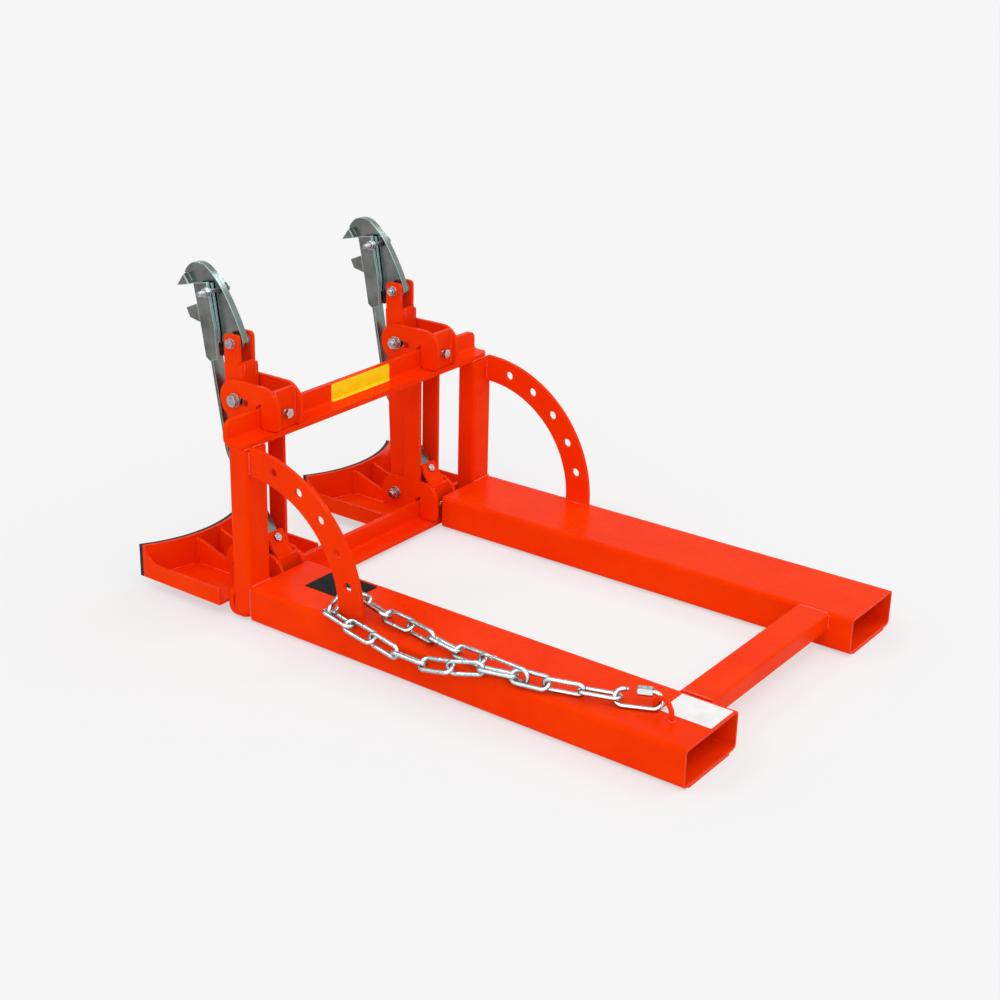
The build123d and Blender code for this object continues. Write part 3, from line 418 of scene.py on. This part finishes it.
# Saddle rubber: a moulded black strip bonded to the face plate, where the drum rests against it.
# It is matt, with fine dust in its skin.
black_rubber, tree, shader = new_finish("black_rubber", Roughness=0.72, Specular_IOR_Level=0.3)
place = object_place(tree)
dust = noise(tree, place, 60.0, 5.0)
grey = toned(tree, dust, (0.35, (0.008, 0.008, 0.009, 1)), (0.75, (0.028, 0.027, 0.026, 1)))
skin = wired(tree, "ShaderNodeBump", Strength=0.2, Distance=0.0004, Height=noise(tree, place, 900.0, 2.0))
join(tree, shader, Base_Color=grey, Normal=skin)
dressed(black_rubber, "saddle_rubber_left", "saddle_rubber_right")

# Masts: two flat steel bars with a web between them, swinging on the carriage's pivot bolt.
# They are coated red-orange like the carriages, and the web is welded in along its edges.
WEB_SIDES, WEB_HALF, WEB_HIGH = (1.1676, 1.1744), 0.0164, (0.458, 0.524)
for unit, y in UNITS.items():
    dressed(red_coat, f"mast_side_plates_{unit}", f"mast_web_{unit}")
    runs = [seam(x, y + side * WEB_HALF, WEB_HIGH) for side in (1, -1) for x in WEB_SIDES]
    weld_beads(f"mast_welds_{unit}", runs, red_weld, f"mast_{unit}", 0.0024)

# Beaks and jaw arms: thick profile cut plates and a bent strap, bright zinc plated after welding.
# The plating is a cool grey with a blue-green cast, streaked along the plates. Beak and tooth stand for the
# plainer CAD ones: the hook's back swells a little more and the tooth is ground to a sharp edge.
BEAK_HALF, BEAK_SOFT = 0.0085, 0.0008
BEAK_BACK = ((150, 127), (143, 138.5), (127, 151.5), (106, 155.3), (90, 152.5), (79.5, 147.5), (63.5, 135),
             (41.5, 112), (23.5, 87), (6.5, 59), (-5, 37), (-14, 16), (-18, 0), (-13, -13))
BEAK_FRONT = ((141, 124), (128.6, 110.6), (106, 90), (87, 68), (80, 34), (72, 4), (62, -7), (40, -12),
              (18, -17), (0, -20.5))
TOOTH = np.array([(0.137, 0.129), (0.159, 0.0995), (0.121, 0.108)])
TOOTH_RINGS = ((-0.025, 0.84), (-0.0232, 1), (0.0232, 1), (0.025, 0.84))
LIP_HALF = 0.024
CLEVIS_X, CLEVIS_Z = 1.197, 0.565
ZINC_DARK, ZINC_LIGHT = (0.11, 0.112, 0.105, 1), (0.21, 0.225, 0.21, 1)
DOWN_PLATE = (60.0, 400.0, 14.0)
SHARP = math.radians(28)


def plated(name, dark, light, edge, grain, roughness, streak, width, cut_share):
    """Zinc plate: grey metal clouded between two tones, with fine streaks along one direction. A painted
    highlight in the edge colour lies on the cut edges (the faces that do not face sideways) and as a painted
    highlight line along every soft corner; both are also made less metallic, so they show brighter."""
    finish, tree, shader = new_finish(name)
    place = object_place(tree)
    tone = toned(tree, noise(tree, place, grain, 5.0, Roughness=0.6), (0.3, dark), (0.7, light))
    own = tree.nodes.new("ShaderNodeTexCoord").outputs["Normal"]
    facing = wired(tree, "ShaderNodeVectorMath", "ABSOLUTE", i0=own)
    sideways = wired(tree, "ShaderNodeSeparateXYZ", i0=facing).outputs["Y"]
    cut = mapped(tree, sideways, 0.9, 0.3, 0.0, cut_share)
    line = mapped(tree, flatness(tree, rounded_normal(tree, width, 6)), 0.995, 0.90, 0.0, 0.95)
    highlight_mask = wired(tree, "ShaderNodeMath", "MAXIMUM", i0=cut, i1=line)
    # Painted highlight: the edge colour is mixed in on the cut edges and soft corners, where lamps would
    # glint.
    highlit_tone = blended(tree, highlight_mask, tone, edge)
    chalky = mapped(tree, highlight_mask, 0.0, 1.0, 1.0, 0.45)
    drawn = wired(tree, "ShaderNodeMapping", Vector=place, Scale=streak)
    lines = noise(tree, drawn, 1.0, 3.0)
    dull = mapped(tree, lines, 0.3, 0.7, roughness - 0.06, roughness + 0.10)
    rounded = rounded_normal(tree, 0.0007, 4)
    skin = wired(tree, "ShaderNodeBump", Strength=0.10, Distance=0.0004, Height=lines, Normal=rounded)
    join(tree, shader, Base_Color=highlit_tone, Metallic=chalky, Roughness=dull, Normal=skin)
    return finish


def curved(points, steps):
    """A line through points, evenly stepped: each span is a cubic whose slope at a point is half the way
    between that point's neighbours."""
    p = np.array(points, float)
    p = np.vstack([2 * p[0] - p[1], p, 2 * p[-1] - p[-2]])
    t = np.linspace(0, 1, 12, endpoint=False)[:, None]
    spans = []
    for before, start, end, after in zip(p, p[1:], p[2:], p[3:]):
        rise, bend = end - before, 2 * before - 5 * start + 4 * end - after
        twist = 3 * start - before - 3 * end + after
        spans.append(0.5 * (2 * start + rise * t + bend * t ** 2 + twist * t ** 3))
    line = np.vstack(spans + [p[-2:-1]])
    along = lengths(line)
    return read_off(line, along, np.linspace(0, along[-1], steps))


def ruled_plate(back, front, half, soft):
    """A plate ruled from a back line to a front line: each step is a straight strip between the two, as
    thick as the plate, with its four corners cut back by the same small amount."""
    way = (front - back) / np.linalg.norm(front - back, axis=1)[:, None]
    inset = [(back, soft, half), (back, 0, half - soft), (back, 0, soft - half), (back, soft, -half),
             (front, -soft, -half), (front, 0, soft - half), (front, 0, half - soft), (front, -soft, half)]
    ring = [np.insert(line + way * step, 1, painted_reflection_place, axis=1) for line, step, painted_reflection_place in inset]
    return np.stack(ring, 1).reshape(-1, 3), capped_faces(len(back), 8)


def facing_out(points, faces):
    """A part with its faces turned to point out: the volume they enclose, summed from corner pyramids, comes
    out positive."""
    volume = sum(np.dot(points[face[0]], np.cross(points[face[k]], points[face[k + 1]]))
                 for face in faces for k in range(1, len(face) - 1))
    return points, faces if volume > 0 else [face[::-1] for face in faces]


def moved(parts, middle, way=np.eye(3)):
    """Parts turned and shifted: a point's three measures laid off along three directions from a middle."""
    return [(points @ way + middle, faces) for points, faces in parts]


def assembled(name, parts, finish, body, stands_for):
    """Parts in one mesh, with edges left sharp where the faces turn by more than 28 degrees. It rides on a
    body and stands for a CAD node."""
    made = mesh_object(name, *joined(parts), finish)
    made.data.set_sharp_from_angle(angle=SHARP)
    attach(made, body)
    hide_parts(stands_for)


# Both zinc finishes carry a pale blue-green painted highlight on their cut edges and soft corners. The
# second, on the jaw plates, is the same zinc with a far stronger painted highlight on its cut edges.
cool_zinc = plated("cool_zinc", ZINC_DARK, ZINC_LIGHT, (0.58, 0.92, 0.90, 1), 26.0, 0.22,
                   DOWN_PLATE, 0.0016, 0.10)
painted_highlight_zinc = plated("painted_highlight_zinc", ZINC_DARK, ZINC_LIGHT, (0.62, 0.95, 0.93, 1), 26.0, 0.22,
                  DOWN_PLATE, 0.0018, 0.75)
back, front = curved(BEAK_BACK, 90) / 1000, curved(BEAK_FRONT, 90) / 1000
hook = facing_out(*ruled_plate(back, front, BEAK_HALF, BEAK_SOFT))
centre = TOOTH.mean(0)
spike = [np.insert(centre + (TOOTH - centre) * size, 1, painted_reflection_place, axis=1) for painted_reflection_place, size in TOOTH_RINGS]
tooth = facing_out(np.concatenate(spike), capped_faces(len(TOOTH_RINGS), 3))
for unit, y in UNITS.items():
    dressed(cool_zinc, f"jaw_lip_{unit}", f"jaw_strap_{unit}")
    dressed(painted_highlight_zinc, f"jaw_plates_{unit}")
    clevis = np.array((CLEVIS_X, y, CLEVIS_Z))
    assembled(f"beak_plate_{unit}", moved([hook], clevis), cool_zinc, f"beak_{unit}", f"beak_{unit}")
    assembled(f"beak_point_{unit}", moved([tooth], clevis), cool_zinc, f"beak_{unit}", f"beak_tooth_{unit}")
    runs = [clevis + seam((0.1236, 0.1386), side * 0.0095, (0.1103, 0.1295)) for side in (1, -1)]
    weld_beads(f"tooth_welds_{unit}", runs, cool_zinc, f"beak_{unit}", 0.0020)
    runs = [clevis + seam(x, (-LIP_HALF, LIP_HALF), z) for x, z in ((0.0972, 0.0708), (0.0905, 0.0300))]
    weld_beads(f"lip_welds_{unit}", runs, cool_zinc, f"jaw_{unit}", 0.0020)

# Bolts: cold formed hexagon bolts and nuts with washers and rolled threads, bright zinc plated.
# Each set stands for the plain bolt of the same place, with chamfered corners and a real thread. A kind of
# bolt is its thread's size, its size across flats and its pitch.
BOLT_16, BOLT_12, BOLT_10 = (0.016, 0.024, 0.002), (0.012, 0.019, 0.00175), (0.010, 0.017, 0.0015)
CORNER_SHARE, FLAT_SHARE = 0.578, 0.475
WASHER_SHARE, NUT_SHARE = 0.15, 0.8
PLAY = 0.0001
CLOSED = 1e-5
SIDES = 48
ANGLE = np.arange(SIDES) * 2 * math.pi / SIDES


def round_grid(reach, radius):
    """Rings of points about an axis: at each distance along it, the radius at every angle."""
    grid = [np.repeat(reach[:, None], SIDES, 1), radius * np.cos(ANGLE), radius * np.sin(ANGLE)]
    return np.stack(grid, -1).reshape(-1, 3)


def ringed(rings, across=None, looped=False):
    """A round piece on an axis from (distance, radius) rings; with across flats given, no ring passes the
    hexagon of that size, so a wide cone cuts the curved chamfer of a bolt head."""
    reach, radius = np.array(rings, float).T
    radius = np.repeat(radius[:, None], SIDES, 1)
    if across:
        off_flat = (ANGLE + math.pi / 6) % (math.pi / 3) - math.pi / 6
        radius = np.minimum(radius, across / 2 / np.cos(off_flat))
    return round_grid(reach, radius), grid_faces(len(rings), SIDES, looped)


def rod(low, high, radius):
    """A plain round bar between two distances, flat at both ends."""
    return ringed([(low, CLOSED), (low, radius), (high, radius), (high, CLOSED)])


def hexagon_block(low, high, across, bore=0.0):
    """A bolt head, or a nut where a bore is given, chamfered at 30 degrees: a cone from a flat circle
    inside the hexagon out to its corners."""
    corner, flat = across * CORNER_SHARE, across * FLAT_SHARE
    drop = (corner - flat) * math.tan(math.radians(30))
    cone = [(f * drop, flat + f * (corner - flat)) for f in (0, 0.2, 0.4, 0.6, 0.8, 1.0)]
    upper = [(high - d, r) for d, r in reversed(cone)]
    if not bore:
        foot = [(low, CLOSED), (low, flat), (low + 0.0004, flat), (low + 0.0005, corner)]
        return ringed(foot + upper + [(high, CLOSED)], across)
    lower = [(low + d, r) for d, r in cone]
    sink = 0.0008
    hole = [(high, bore + sink), (high - sink, bore), (low + sink, bore), (low, bore + sink)]
    return ringed(lower + upper + hole, across, True)


def washer(low, high, outer, inner):
    """A flat ring between two distances, its outer edges broken by 0.3 mm."""
    edge = 0.0003
    return ringed([(low, inner), (low, outer - edge), (low + edge, outer), (high - edge, outer),
                   (high, outer - edge), (high, inner)], None, True)


def thread(start, end, size, pitch):
    """A screw thread running down the axis from start to end: the radius falls and rises by the thread's
    depth once each pitch, shifted by one pitch over a full turn, and runs out in a chamfer at the end."""
    painted_reflection_place = 0.61 * pitch
    reach = np.append(np.arange(start, end, pitch / 8), [end, end])
    wave = np.abs(2 * ((reach[:, None] / pitch - ANGLE / (2 * math.pi)) % 1) - 1)
    radius = size / 2 - painted_reflection_place * np.clip(1.25 * wave - 0.12, 0, 1)
    radius = np.minimum(radius, (size / 2 - painted_reflection_place + (end - reach))[:, None])
    radius[-1] = CLOSED
    return round_grid(reach, radius) * (-1, 1, -1), grid_faces(len(reach), SIDES)


def bolt_parts(grip, kind, tail, head=0.65):
    """Head, shank, thread, nut and two washers of one bolt, measured from the middle of what it clamps."""
    size, across, pitch = kind
    face, nut, bore = grip + WASHER_SHARE * size, NUT_SHARE * size, size / 2 + PLAY
    return [hexagon_block(face, face + head * size, across), rod(-face, face, size / 2),
            thread(face, face + nut + tail, size, pitch), hexagon_block(-face - nut, -face, across, bore),
            washer(grip, face, 0.95 * size, bore), washer(-face, -grip, 0.95 * size, bore)]


def spacers(low, high, outer, inner):
    """Two rings, one on each side of the middle, between two distances from it."""
    return [washer(low, high, outer, inner), washer(-high, -low, outer, inner)]


def on_axis(parts, axis, second, at):
    """Parts made along X, turned to run along an axis, with Y turned to a second direction."""
    axis = np.array(axis, float) / np.linalg.norm(axis)
    return moved(parts, at, np.stack([axis, second, np.cross(axis, second)]))


# Bolt zinc: its near-white edge colour is a painted highlight on the bolts' corners and edge faces.
bright_zinc = plated("bright_zinc", (0.20, 0.215, 0.23, 1), (0.42, 0.46, 0.49, 1), (0.88, 0.93, 0.95, 1),
                     90.0, 0.16, (300.0, 90.0, 300.0), 0.0009, 0.35)
pivot = bolt_parts(0.0385, BOLT_16, 0.005) + spacers(0.0255, 0.0304, 0.016, 0.0081)
guide = bolt_parts(0.0390, BOLT_16, 0.005) + spacers(0.0251, 0.0300, 0.016, 0.0081)
clevis = bolt_parts(0.0250, BOLT_12, 0.005)
beside_beak = spacers(0.0105, 0.0169, 0.0156, 0.0061)
link = bolt_parts(0.0260, BOLT_12, 0.017, 0.4)
size, across, pitch = BOLT_12
clamp = [hexagon_block(0, 0.0078, across), rod(-0.004, 0, size / 2), thread(0.004, 0.0430, size, pitch)]
size, across, pitch = BOLT_10
lug = [hexagon_block(0.0105, 0.0170, across), rod(-0.0081, 0.0105, size / 2),
       hexagon_block(-0.0131, -0.0081, across, size / 2 + PLAY), thread(0.0081, 0.0140, size, pitch)]
for unit, y in UNITS.items():
    heads = (0, 1, 0) if unit == "left" else (0, -1, 0)
    for name, parts, axis, second, x, z, body, stands_for in (
            ("pivot_set", pivot, heads, (1, 0, 0), 1.178, 0.066, "carriage", "lower_pivot_bolt"),
            ("guide_set", guide, heads, (0.91, 0, 0.41), 1.178, 0.446, "mast", "guide_bolt"),
            ("clevis_set", clevis, heads, (0.94, 0, 0.34), CLEVIS_X, CLEVIS_Z, "mast", "clevis_bolt"),
            ("clevis_spacers", beside_beak, (0, 1, 0), (1, 0, 0), CLEVIS_X, CLEVIS_Z, "mast", "beak_spacers"),
            ("link_set", link, (0, -1, 0), (0.98, 0, 0.20), 1.260, 0.666, "jaw", "link_bolt"),
            ("clamp_set_bottom", clamp, (-1, 0, 0), (0, 0.8, 0.6), 1.0605, 0.053,
             "clamp_bottom", "clamp_screw_bottom"),
            ("clamp_set_top", clamp, (-1, 0, 0), (0, 0.8, 0.6), 1.0605, 0.433,
             "clamp_top", "clamp_screw_top"),
            ("lug_set", lug, (0.83195, 0, -0.55484), (0, 1, 0), 1.10762, 0.13219, "carriage", "lug_bolt")):
        assembled(f"{name}_{unit}", on_axis(parts, axis, second, (x, y, z)), bright_zinc,
                  f"{body}_{unit}", f"{stands_for}_{unit}")

# Safety chain: long welded links of round steel, hot dip galvanised, joined to the eye by the quick link.
# They lie as the CAD rings do, with round wire and full bends, and one leg of each swells at its weld.
# Joints are in millimetres: along the pocket, outward of its middle and above its top.
WIRE = 0.0088
WIRE_SIDES = 20
LINK_IN, LINK_W = 0.0682, 0.0358
CHAIN_JOINTS = (
    (180.9, 29.5, 16.2), (243.9, 53.6, 17.7), (307.0, 76.7, 19.8),
    (372.7, 88.9, 19.4), (437.5, 104.3, 18.4), (502.1, 116.3, 4.4),
    (567.6, 117.6, -8.5), (634.6, 119.0, -7.1), (700.7, 112.3, 0.4),
    (766.6, 108.3, 9.4), (821.9, 101.8, 15.8), (839.0, 35.4, 27.5),
    (785.1, 34.1, 28.5), (719.2, 42.2, 19.1), (653.1, 49.7, 18.4),
    (587.8, 62.0, 18.4), (522.0, 68.4, 14.4), (456.3, 75.6, 18.9),
)
CHAIN_TURNS = (99, -17, 46, 105, -6, 56, 118, 0, 59, 105, 4, 61, 117, 55, -4, 114, 57)


def stadium(inner, width, steps, start=0.0, end=0.0):
    """Points on the middle line of a long ring, evenly stepped: from a place on the upper leg round the rear
    half circle, the lower leg and the front half circle, back to a place on the upper leg."""
    r = (width - WIRE) / 2
    half = (inner + WIRE) / 2 - r
    bend = np.linspace(math.pi / 2, 3 * math.pi / 2, 60)
    x = np.concatenate([[start], -half + r * np.cos(bend), half - r * np.cos(bend), [end]])
    y = np.concatenate([[r], r * np.sin(bend), -r * np.sin(bend), [r]])
    line = seam(x, y, 0.0)
    along = lengths(line)
    s = np.linspace(0, along[-1], steps)
    return read_off(line, along, s), s


def swept(middle, across, deep, looped=False):
    """A bar swept along a flat line: at each point the section is an ellipse with one half size across the
    line and one out of its plane."""
    tangent = np.roll(middle, -1, 0) - np.roll(middle, 1, 0) if looped else np.gradient(middle, axis=0)
    tangent /= np.linalg.norm(tangent, axis=1)[:, None]
    side = np.cross((0, 0, 1), tangent)
    turn = np.arange(WIRE_SIDES) * 2 * math.pi / WIRE_SIDES
    sideways = (across[:, None] * np.cos(turn))[..., None] * side[:, None]
    upward = (deep[:, None] * np.sin(turn))[..., None] * (0, 0, 1)
    return (middle[:, None] + sideways + upward).reshape(-1, 3), grid_faces(len(middle), WIRE_SIDES, looped)


def ring_frame(start, end, turn):
    """Middle and directions of a ring between two bearing points, its normal raised by so many degrees."""
    start, end = np.array(start), np.array(end)
    line = (end - start) / np.linalg.norm(end - start)
    outer = np.cross((0, 0, 1), line)
    outer = outer / np.linalg.norm(outer) * (1 if outer[1] > 0 else -1)
    rise = np.cross(outer, line)
    rise = rise if rise[2] > 0 else -rise
    normal = outer * math.cos(math.radians(turn)) + rise * math.sin(math.radians(turn))
    return (start + end) / 2, np.stack([line, np.cross(normal, line), normal])


def on_pocket(along, outward, above):
    """A place by the left pocket, from millimetres along it, outward of its middle and above its top."""
    return along / 1000, POCKET_MID + outward / 1000, POCKET_TOP + above / 1000


zinc_dip, tree, shader = new_finish("zinc_dip", Metallic=1.0)
place = object_place(tree)
flakes = wired(tree, "ShaderNodeTexVoronoi", Vector=place, Scale=330.0).outputs["Color"]
soft = noise(tree, place, 70.0, 4.0)
patches = mapped(tree, wired(tree, "ShaderNodeMath", "MULTIPLY", i0=flakes, i1=soft), 0.05, 0.42, -0.09, 0.09)
# Painted reflection: the colour comes from a ramp by the angle at which the surface is seen. Its bright and
# dark bands stand for the surround reflected in round wire, and the spangle patches shift them a little.
turned_away = wired(tree, "ShaderNodeLayerWeight", Blend=0.5).outputs["Facing"]
painted_reflection_place = wired(tree, "ShaderNodeMath", "ADD", i0=turned_away, i1=patches)
painted_reflections = toned(tree, painted_reflection_place, (0.10, (0.84, 0.93, 0.94, 1)), (0.28, (0.50, 0.60, 0.62, 1)),
              (0.50, (0.11, 0.15, 0.16, 1)), (0.64, (0.62, 0.80, 0.82, 1)), (0.85, (0.22, 0.30, 0.31, 1)))
dull = mapped(tree, soft, 0.3, 0.7, 0.12, 0.26)
skin = wired(tree, "ShaderNodeBump", Strength=0.14, Distance=0.0005, Height=noise(tree, place, 260.0, 3.0))
join(tree, shader, Base_Color=painted_reflections, Roughness=dull, Normal=skin)

line, s = stadium(LINK_IN, LINK_W, 96)
line, s = line[:-1], s[:-1]
swell = 1 + 0.13 * np.exp(-((s - 0.5 * s[-1]) / 0.0022) ** 2) + 0.004 * np.sin(900 * s)
ring = swept(line, 0.5 * WIRE * swell, 0.5 * WIRE * swell, True)
links = []
for start, end, turn in zip(CHAIN_JOINTS, CHAIN_JOINTS[1:], CHAIN_TURNS):
    links += moved([ring], *ring_frame(on_pocket(*start), on_pocket(*end), turn))
assembled("chain", links, zinc_dip, "frame", "chain_links")

# Quick link: a galvanised ring in the eye, open in its upper leg and threaded at both ends, with a hexagon
# sleeve screwed back. The sleeve rides on its own body.
QUICK_IN, QUICK_W = 0.0778, 0.0418
QUICK_HEADING, QUICK_LEAN = math.radians(25.5), 225
QUICK_ACROSS = 0.0170
SLEEVE_LONG, SLEEVE_EDGE, SLEEVE_CONE = 0.030, 0.0006, 0.0016
EYE_ALONG, EYE_CLEAR, QUICK_BACK = 119.0, 0.5, 0.007
LEG_START, GAP_END = 0.0005, 0.014
REAR_THREAD, FRONT_THREAD = 0.012, 0.009
QUICK_PITCH, FADE = 0.0015, 0.001
quick_r = (QUICK_W - WIRE) / 2
way = np.array((math.cos(QUICK_HEADING), math.sin(QUICK_HEADING), 0))
above = 1000 * (WIRE / 2 + quick_r * math.cos(math.radians(45))) + EYE_CLEAR
rear = np.array(on_pocket(EYE_ALONG, 0.0, above)) - way * QUICK_BACK
quick_place = ring_frame(rear, rear + way * QUICK_IN, QUICK_LEAN)
sleeve_low = LEG_START - (QUICK_IN + WIRE) / 2 + quick_r
sleeve_high = sleeve_low + SLEEVE_LONG
line, s = stadium(QUICK_IN, QUICK_W, 220, sleeve_high - 0.001, sleeve_high + GAP_END)
left = s[-1] - s
screwed = np.clip(np.minimum(s, REAR_THREAD - s), 0, FADE)
screwed += np.clip(np.minimum(left, FRONT_THREAD - left), 0, FADE)
radius = WIRE / 2 - 0.9 * screwed * (0.5 + 0.5 * np.cos(s * 2 * math.pi / QUICK_PITCH))
radius[[0, -1]] = CLOSED
line[0] += 0.999 * (line[1] - line[0])
line[-1] += 0.999 * (line[-2] - line[-1])
quick = swept(line, radius, radius)
assembled("quick_ring", moved([quick], *quick_place), zinc_dip, "frame", "quick_link")
bore, flat, corner = WIRE / 2 + PLAY, QUICK_ACROSS * FLAT_SHARE - SLEEVE_EDGE, QUICK_ACROSS * CORNER_SHARE
rings = [(sleeve_low, bore + SLEEVE_EDGE), (sleeve_low, flat), (sleeve_low + SLEEVE_CONE, corner),
         (sleeve_high - SLEEVE_CONE, corner), (sleeve_high, flat), (sleeve_high, bore + SLEEVE_EDGE),
         (sleeve_high - SLEEVE_EDGE, bore), (sleeve_low + SLEEVE_EDGE, bore)]
sleeve = moved([ringed(rings, QUICK_ACROSS, True)], (0, quick_r, 0))
assembled("quick_sleeve", moved(sleeve, *quick_place), zinc_dip, "quick_link_sleeve", "quick_link_sleeve")

# Snap hook: a long galvanised ring with one leg open, its stub flattened to a tongue, and a sprung gate
# forked over it on a rivet. The gate is a bar with two cheeks and rides on its own body.
HOOK_END = (349.2, 85.3, 22.6)
HOOK_IN, HOOK_W = 0.1092, 0.0378
HOOK_TIP, PIN_X = 0.013, -0.029
TONGUE_R, TONGUE_HALF = 0.0035, 0.00175
PRESS_END, PRESS_LONG = 0.017, 0.008
NOSE = 0.0008
RIVET = ((-0.0056, CLOSED), (-0.0056, 0.0016), (-0.0052, 0.0026), (-0.0044, 0.0030), (-0.0041, 0.0030),
         (-0.0041, 0.0015), (0.0041, 0.0015), (0.0041, 0.0030), (0.0044, 0.0030), (0.0052, 0.0026),
         (0.0056, 0.0016), (0.0056, CLOSED))
CHEEK_IN, CHEEK_OUT, CHEEK_LONG, CHEEK_EDGE = 0.00225, 0.0040, 0.0055, 0.0002
CHEEK_MID, CHEEK_SHRINK = 0.002, 0.97


def dome(past, radius, full=1.0):
    """The share of its size that a rounded end keeps, so far past its start: a quarter circle's height."""
    return np.sqrt(np.clip(1 - (np.clip(past, 0, None) / radius) ** 2 * full, 1e-6, 1))


hook_place = ring_frame(on_pocket(*CHAIN_JOINTS[-1]), on_pocket(*HOOK_END), 0)
hook_r = (HOOK_W - WIRE) / 2
line, s = stadium(HOOK_IN, HOOK_W, 300, PIN_X + TONGUE_R, HOOK_TIP + 0.001)
press = np.clip((PRESS_END - s) / PRESS_LONG, 0, 1)
press = press * press * (3 - 2 * press)
round_end = dome(TONGUE_R - s, TONGUE_R)
nose = dome(s - s[-1] + NOSE, NOSE, 0.9999)
across = (WIRE / 2 + (TONGUE_R - WIRE / 2) * press) * round_end * nose
deep = (WIRE / 2 + (TONGUE_HALF - WIRE / 2) * press) * np.minimum(1, round_end + 0.9 * press) * nose
deep[0] = across[0] = CLOSED
pin, pin_faces = ringed(RIVET)
pin = pin[:, (1, 2, 0)] + (PIN_X, hook_r, 0)
ring = swept(line, across, deep)
assembled("hook_ring", moved([ring, (pin, pin_faces)], *hook_place), zinc_dip, "frame", "snap_hook")

bar_start, bar_round = PIN_X + 0.0040, HOOK_TIP - TONGUE_R
bar_end = bar_round + TONGUE_R * np.sin(np.linspace(0.1, math.pi / 2, 10))
bar_x = np.concatenate([[bar_start], np.linspace(bar_start, bar_round, 30), bar_end])
bar_r = dome(bar_x - HOOK_TIP + TONGUE_R, TONGUE_R) * TONGUE_R
bar_r[0] = CLOSED
parts = moved([ringed(list(zip(bar_x, bar_r)))], (0, hook_r, 0))
turn = np.linspace(0, 2 * math.pi, 41)[:-1]
long = TONGUE_R * np.cos(turn) + np.where(np.cos(turn) > 0, CHEEK_LONG, 0)
for low, high in ((CHEEK_IN, CHEEK_OUT), (-CHEEK_OUT, -CHEEK_IN)):
    rows = ((low, 0), (low, CHEEK_SHRINK), (low + CHEEK_EDGE, 1),
            (high - CHEEK_EDGE, 1), (high, CHEEK_SHRINK), (high, 0))
    cheek = []
    for z, size in rows:
        x = PIN_X + size * long + (0 if size else CHEEK_MID)
        cheek.append(seam(x, hook_r + size * TONGUE_R * np.sin(turn), z))
    parts.append((np.concatenate(cheek), grid_faces(len(rows), len(turn))))
assembled("hook_gate", moved(parts, *hook_place), zinc_dip, "snap_hook_gate", "snap_hook_gate")
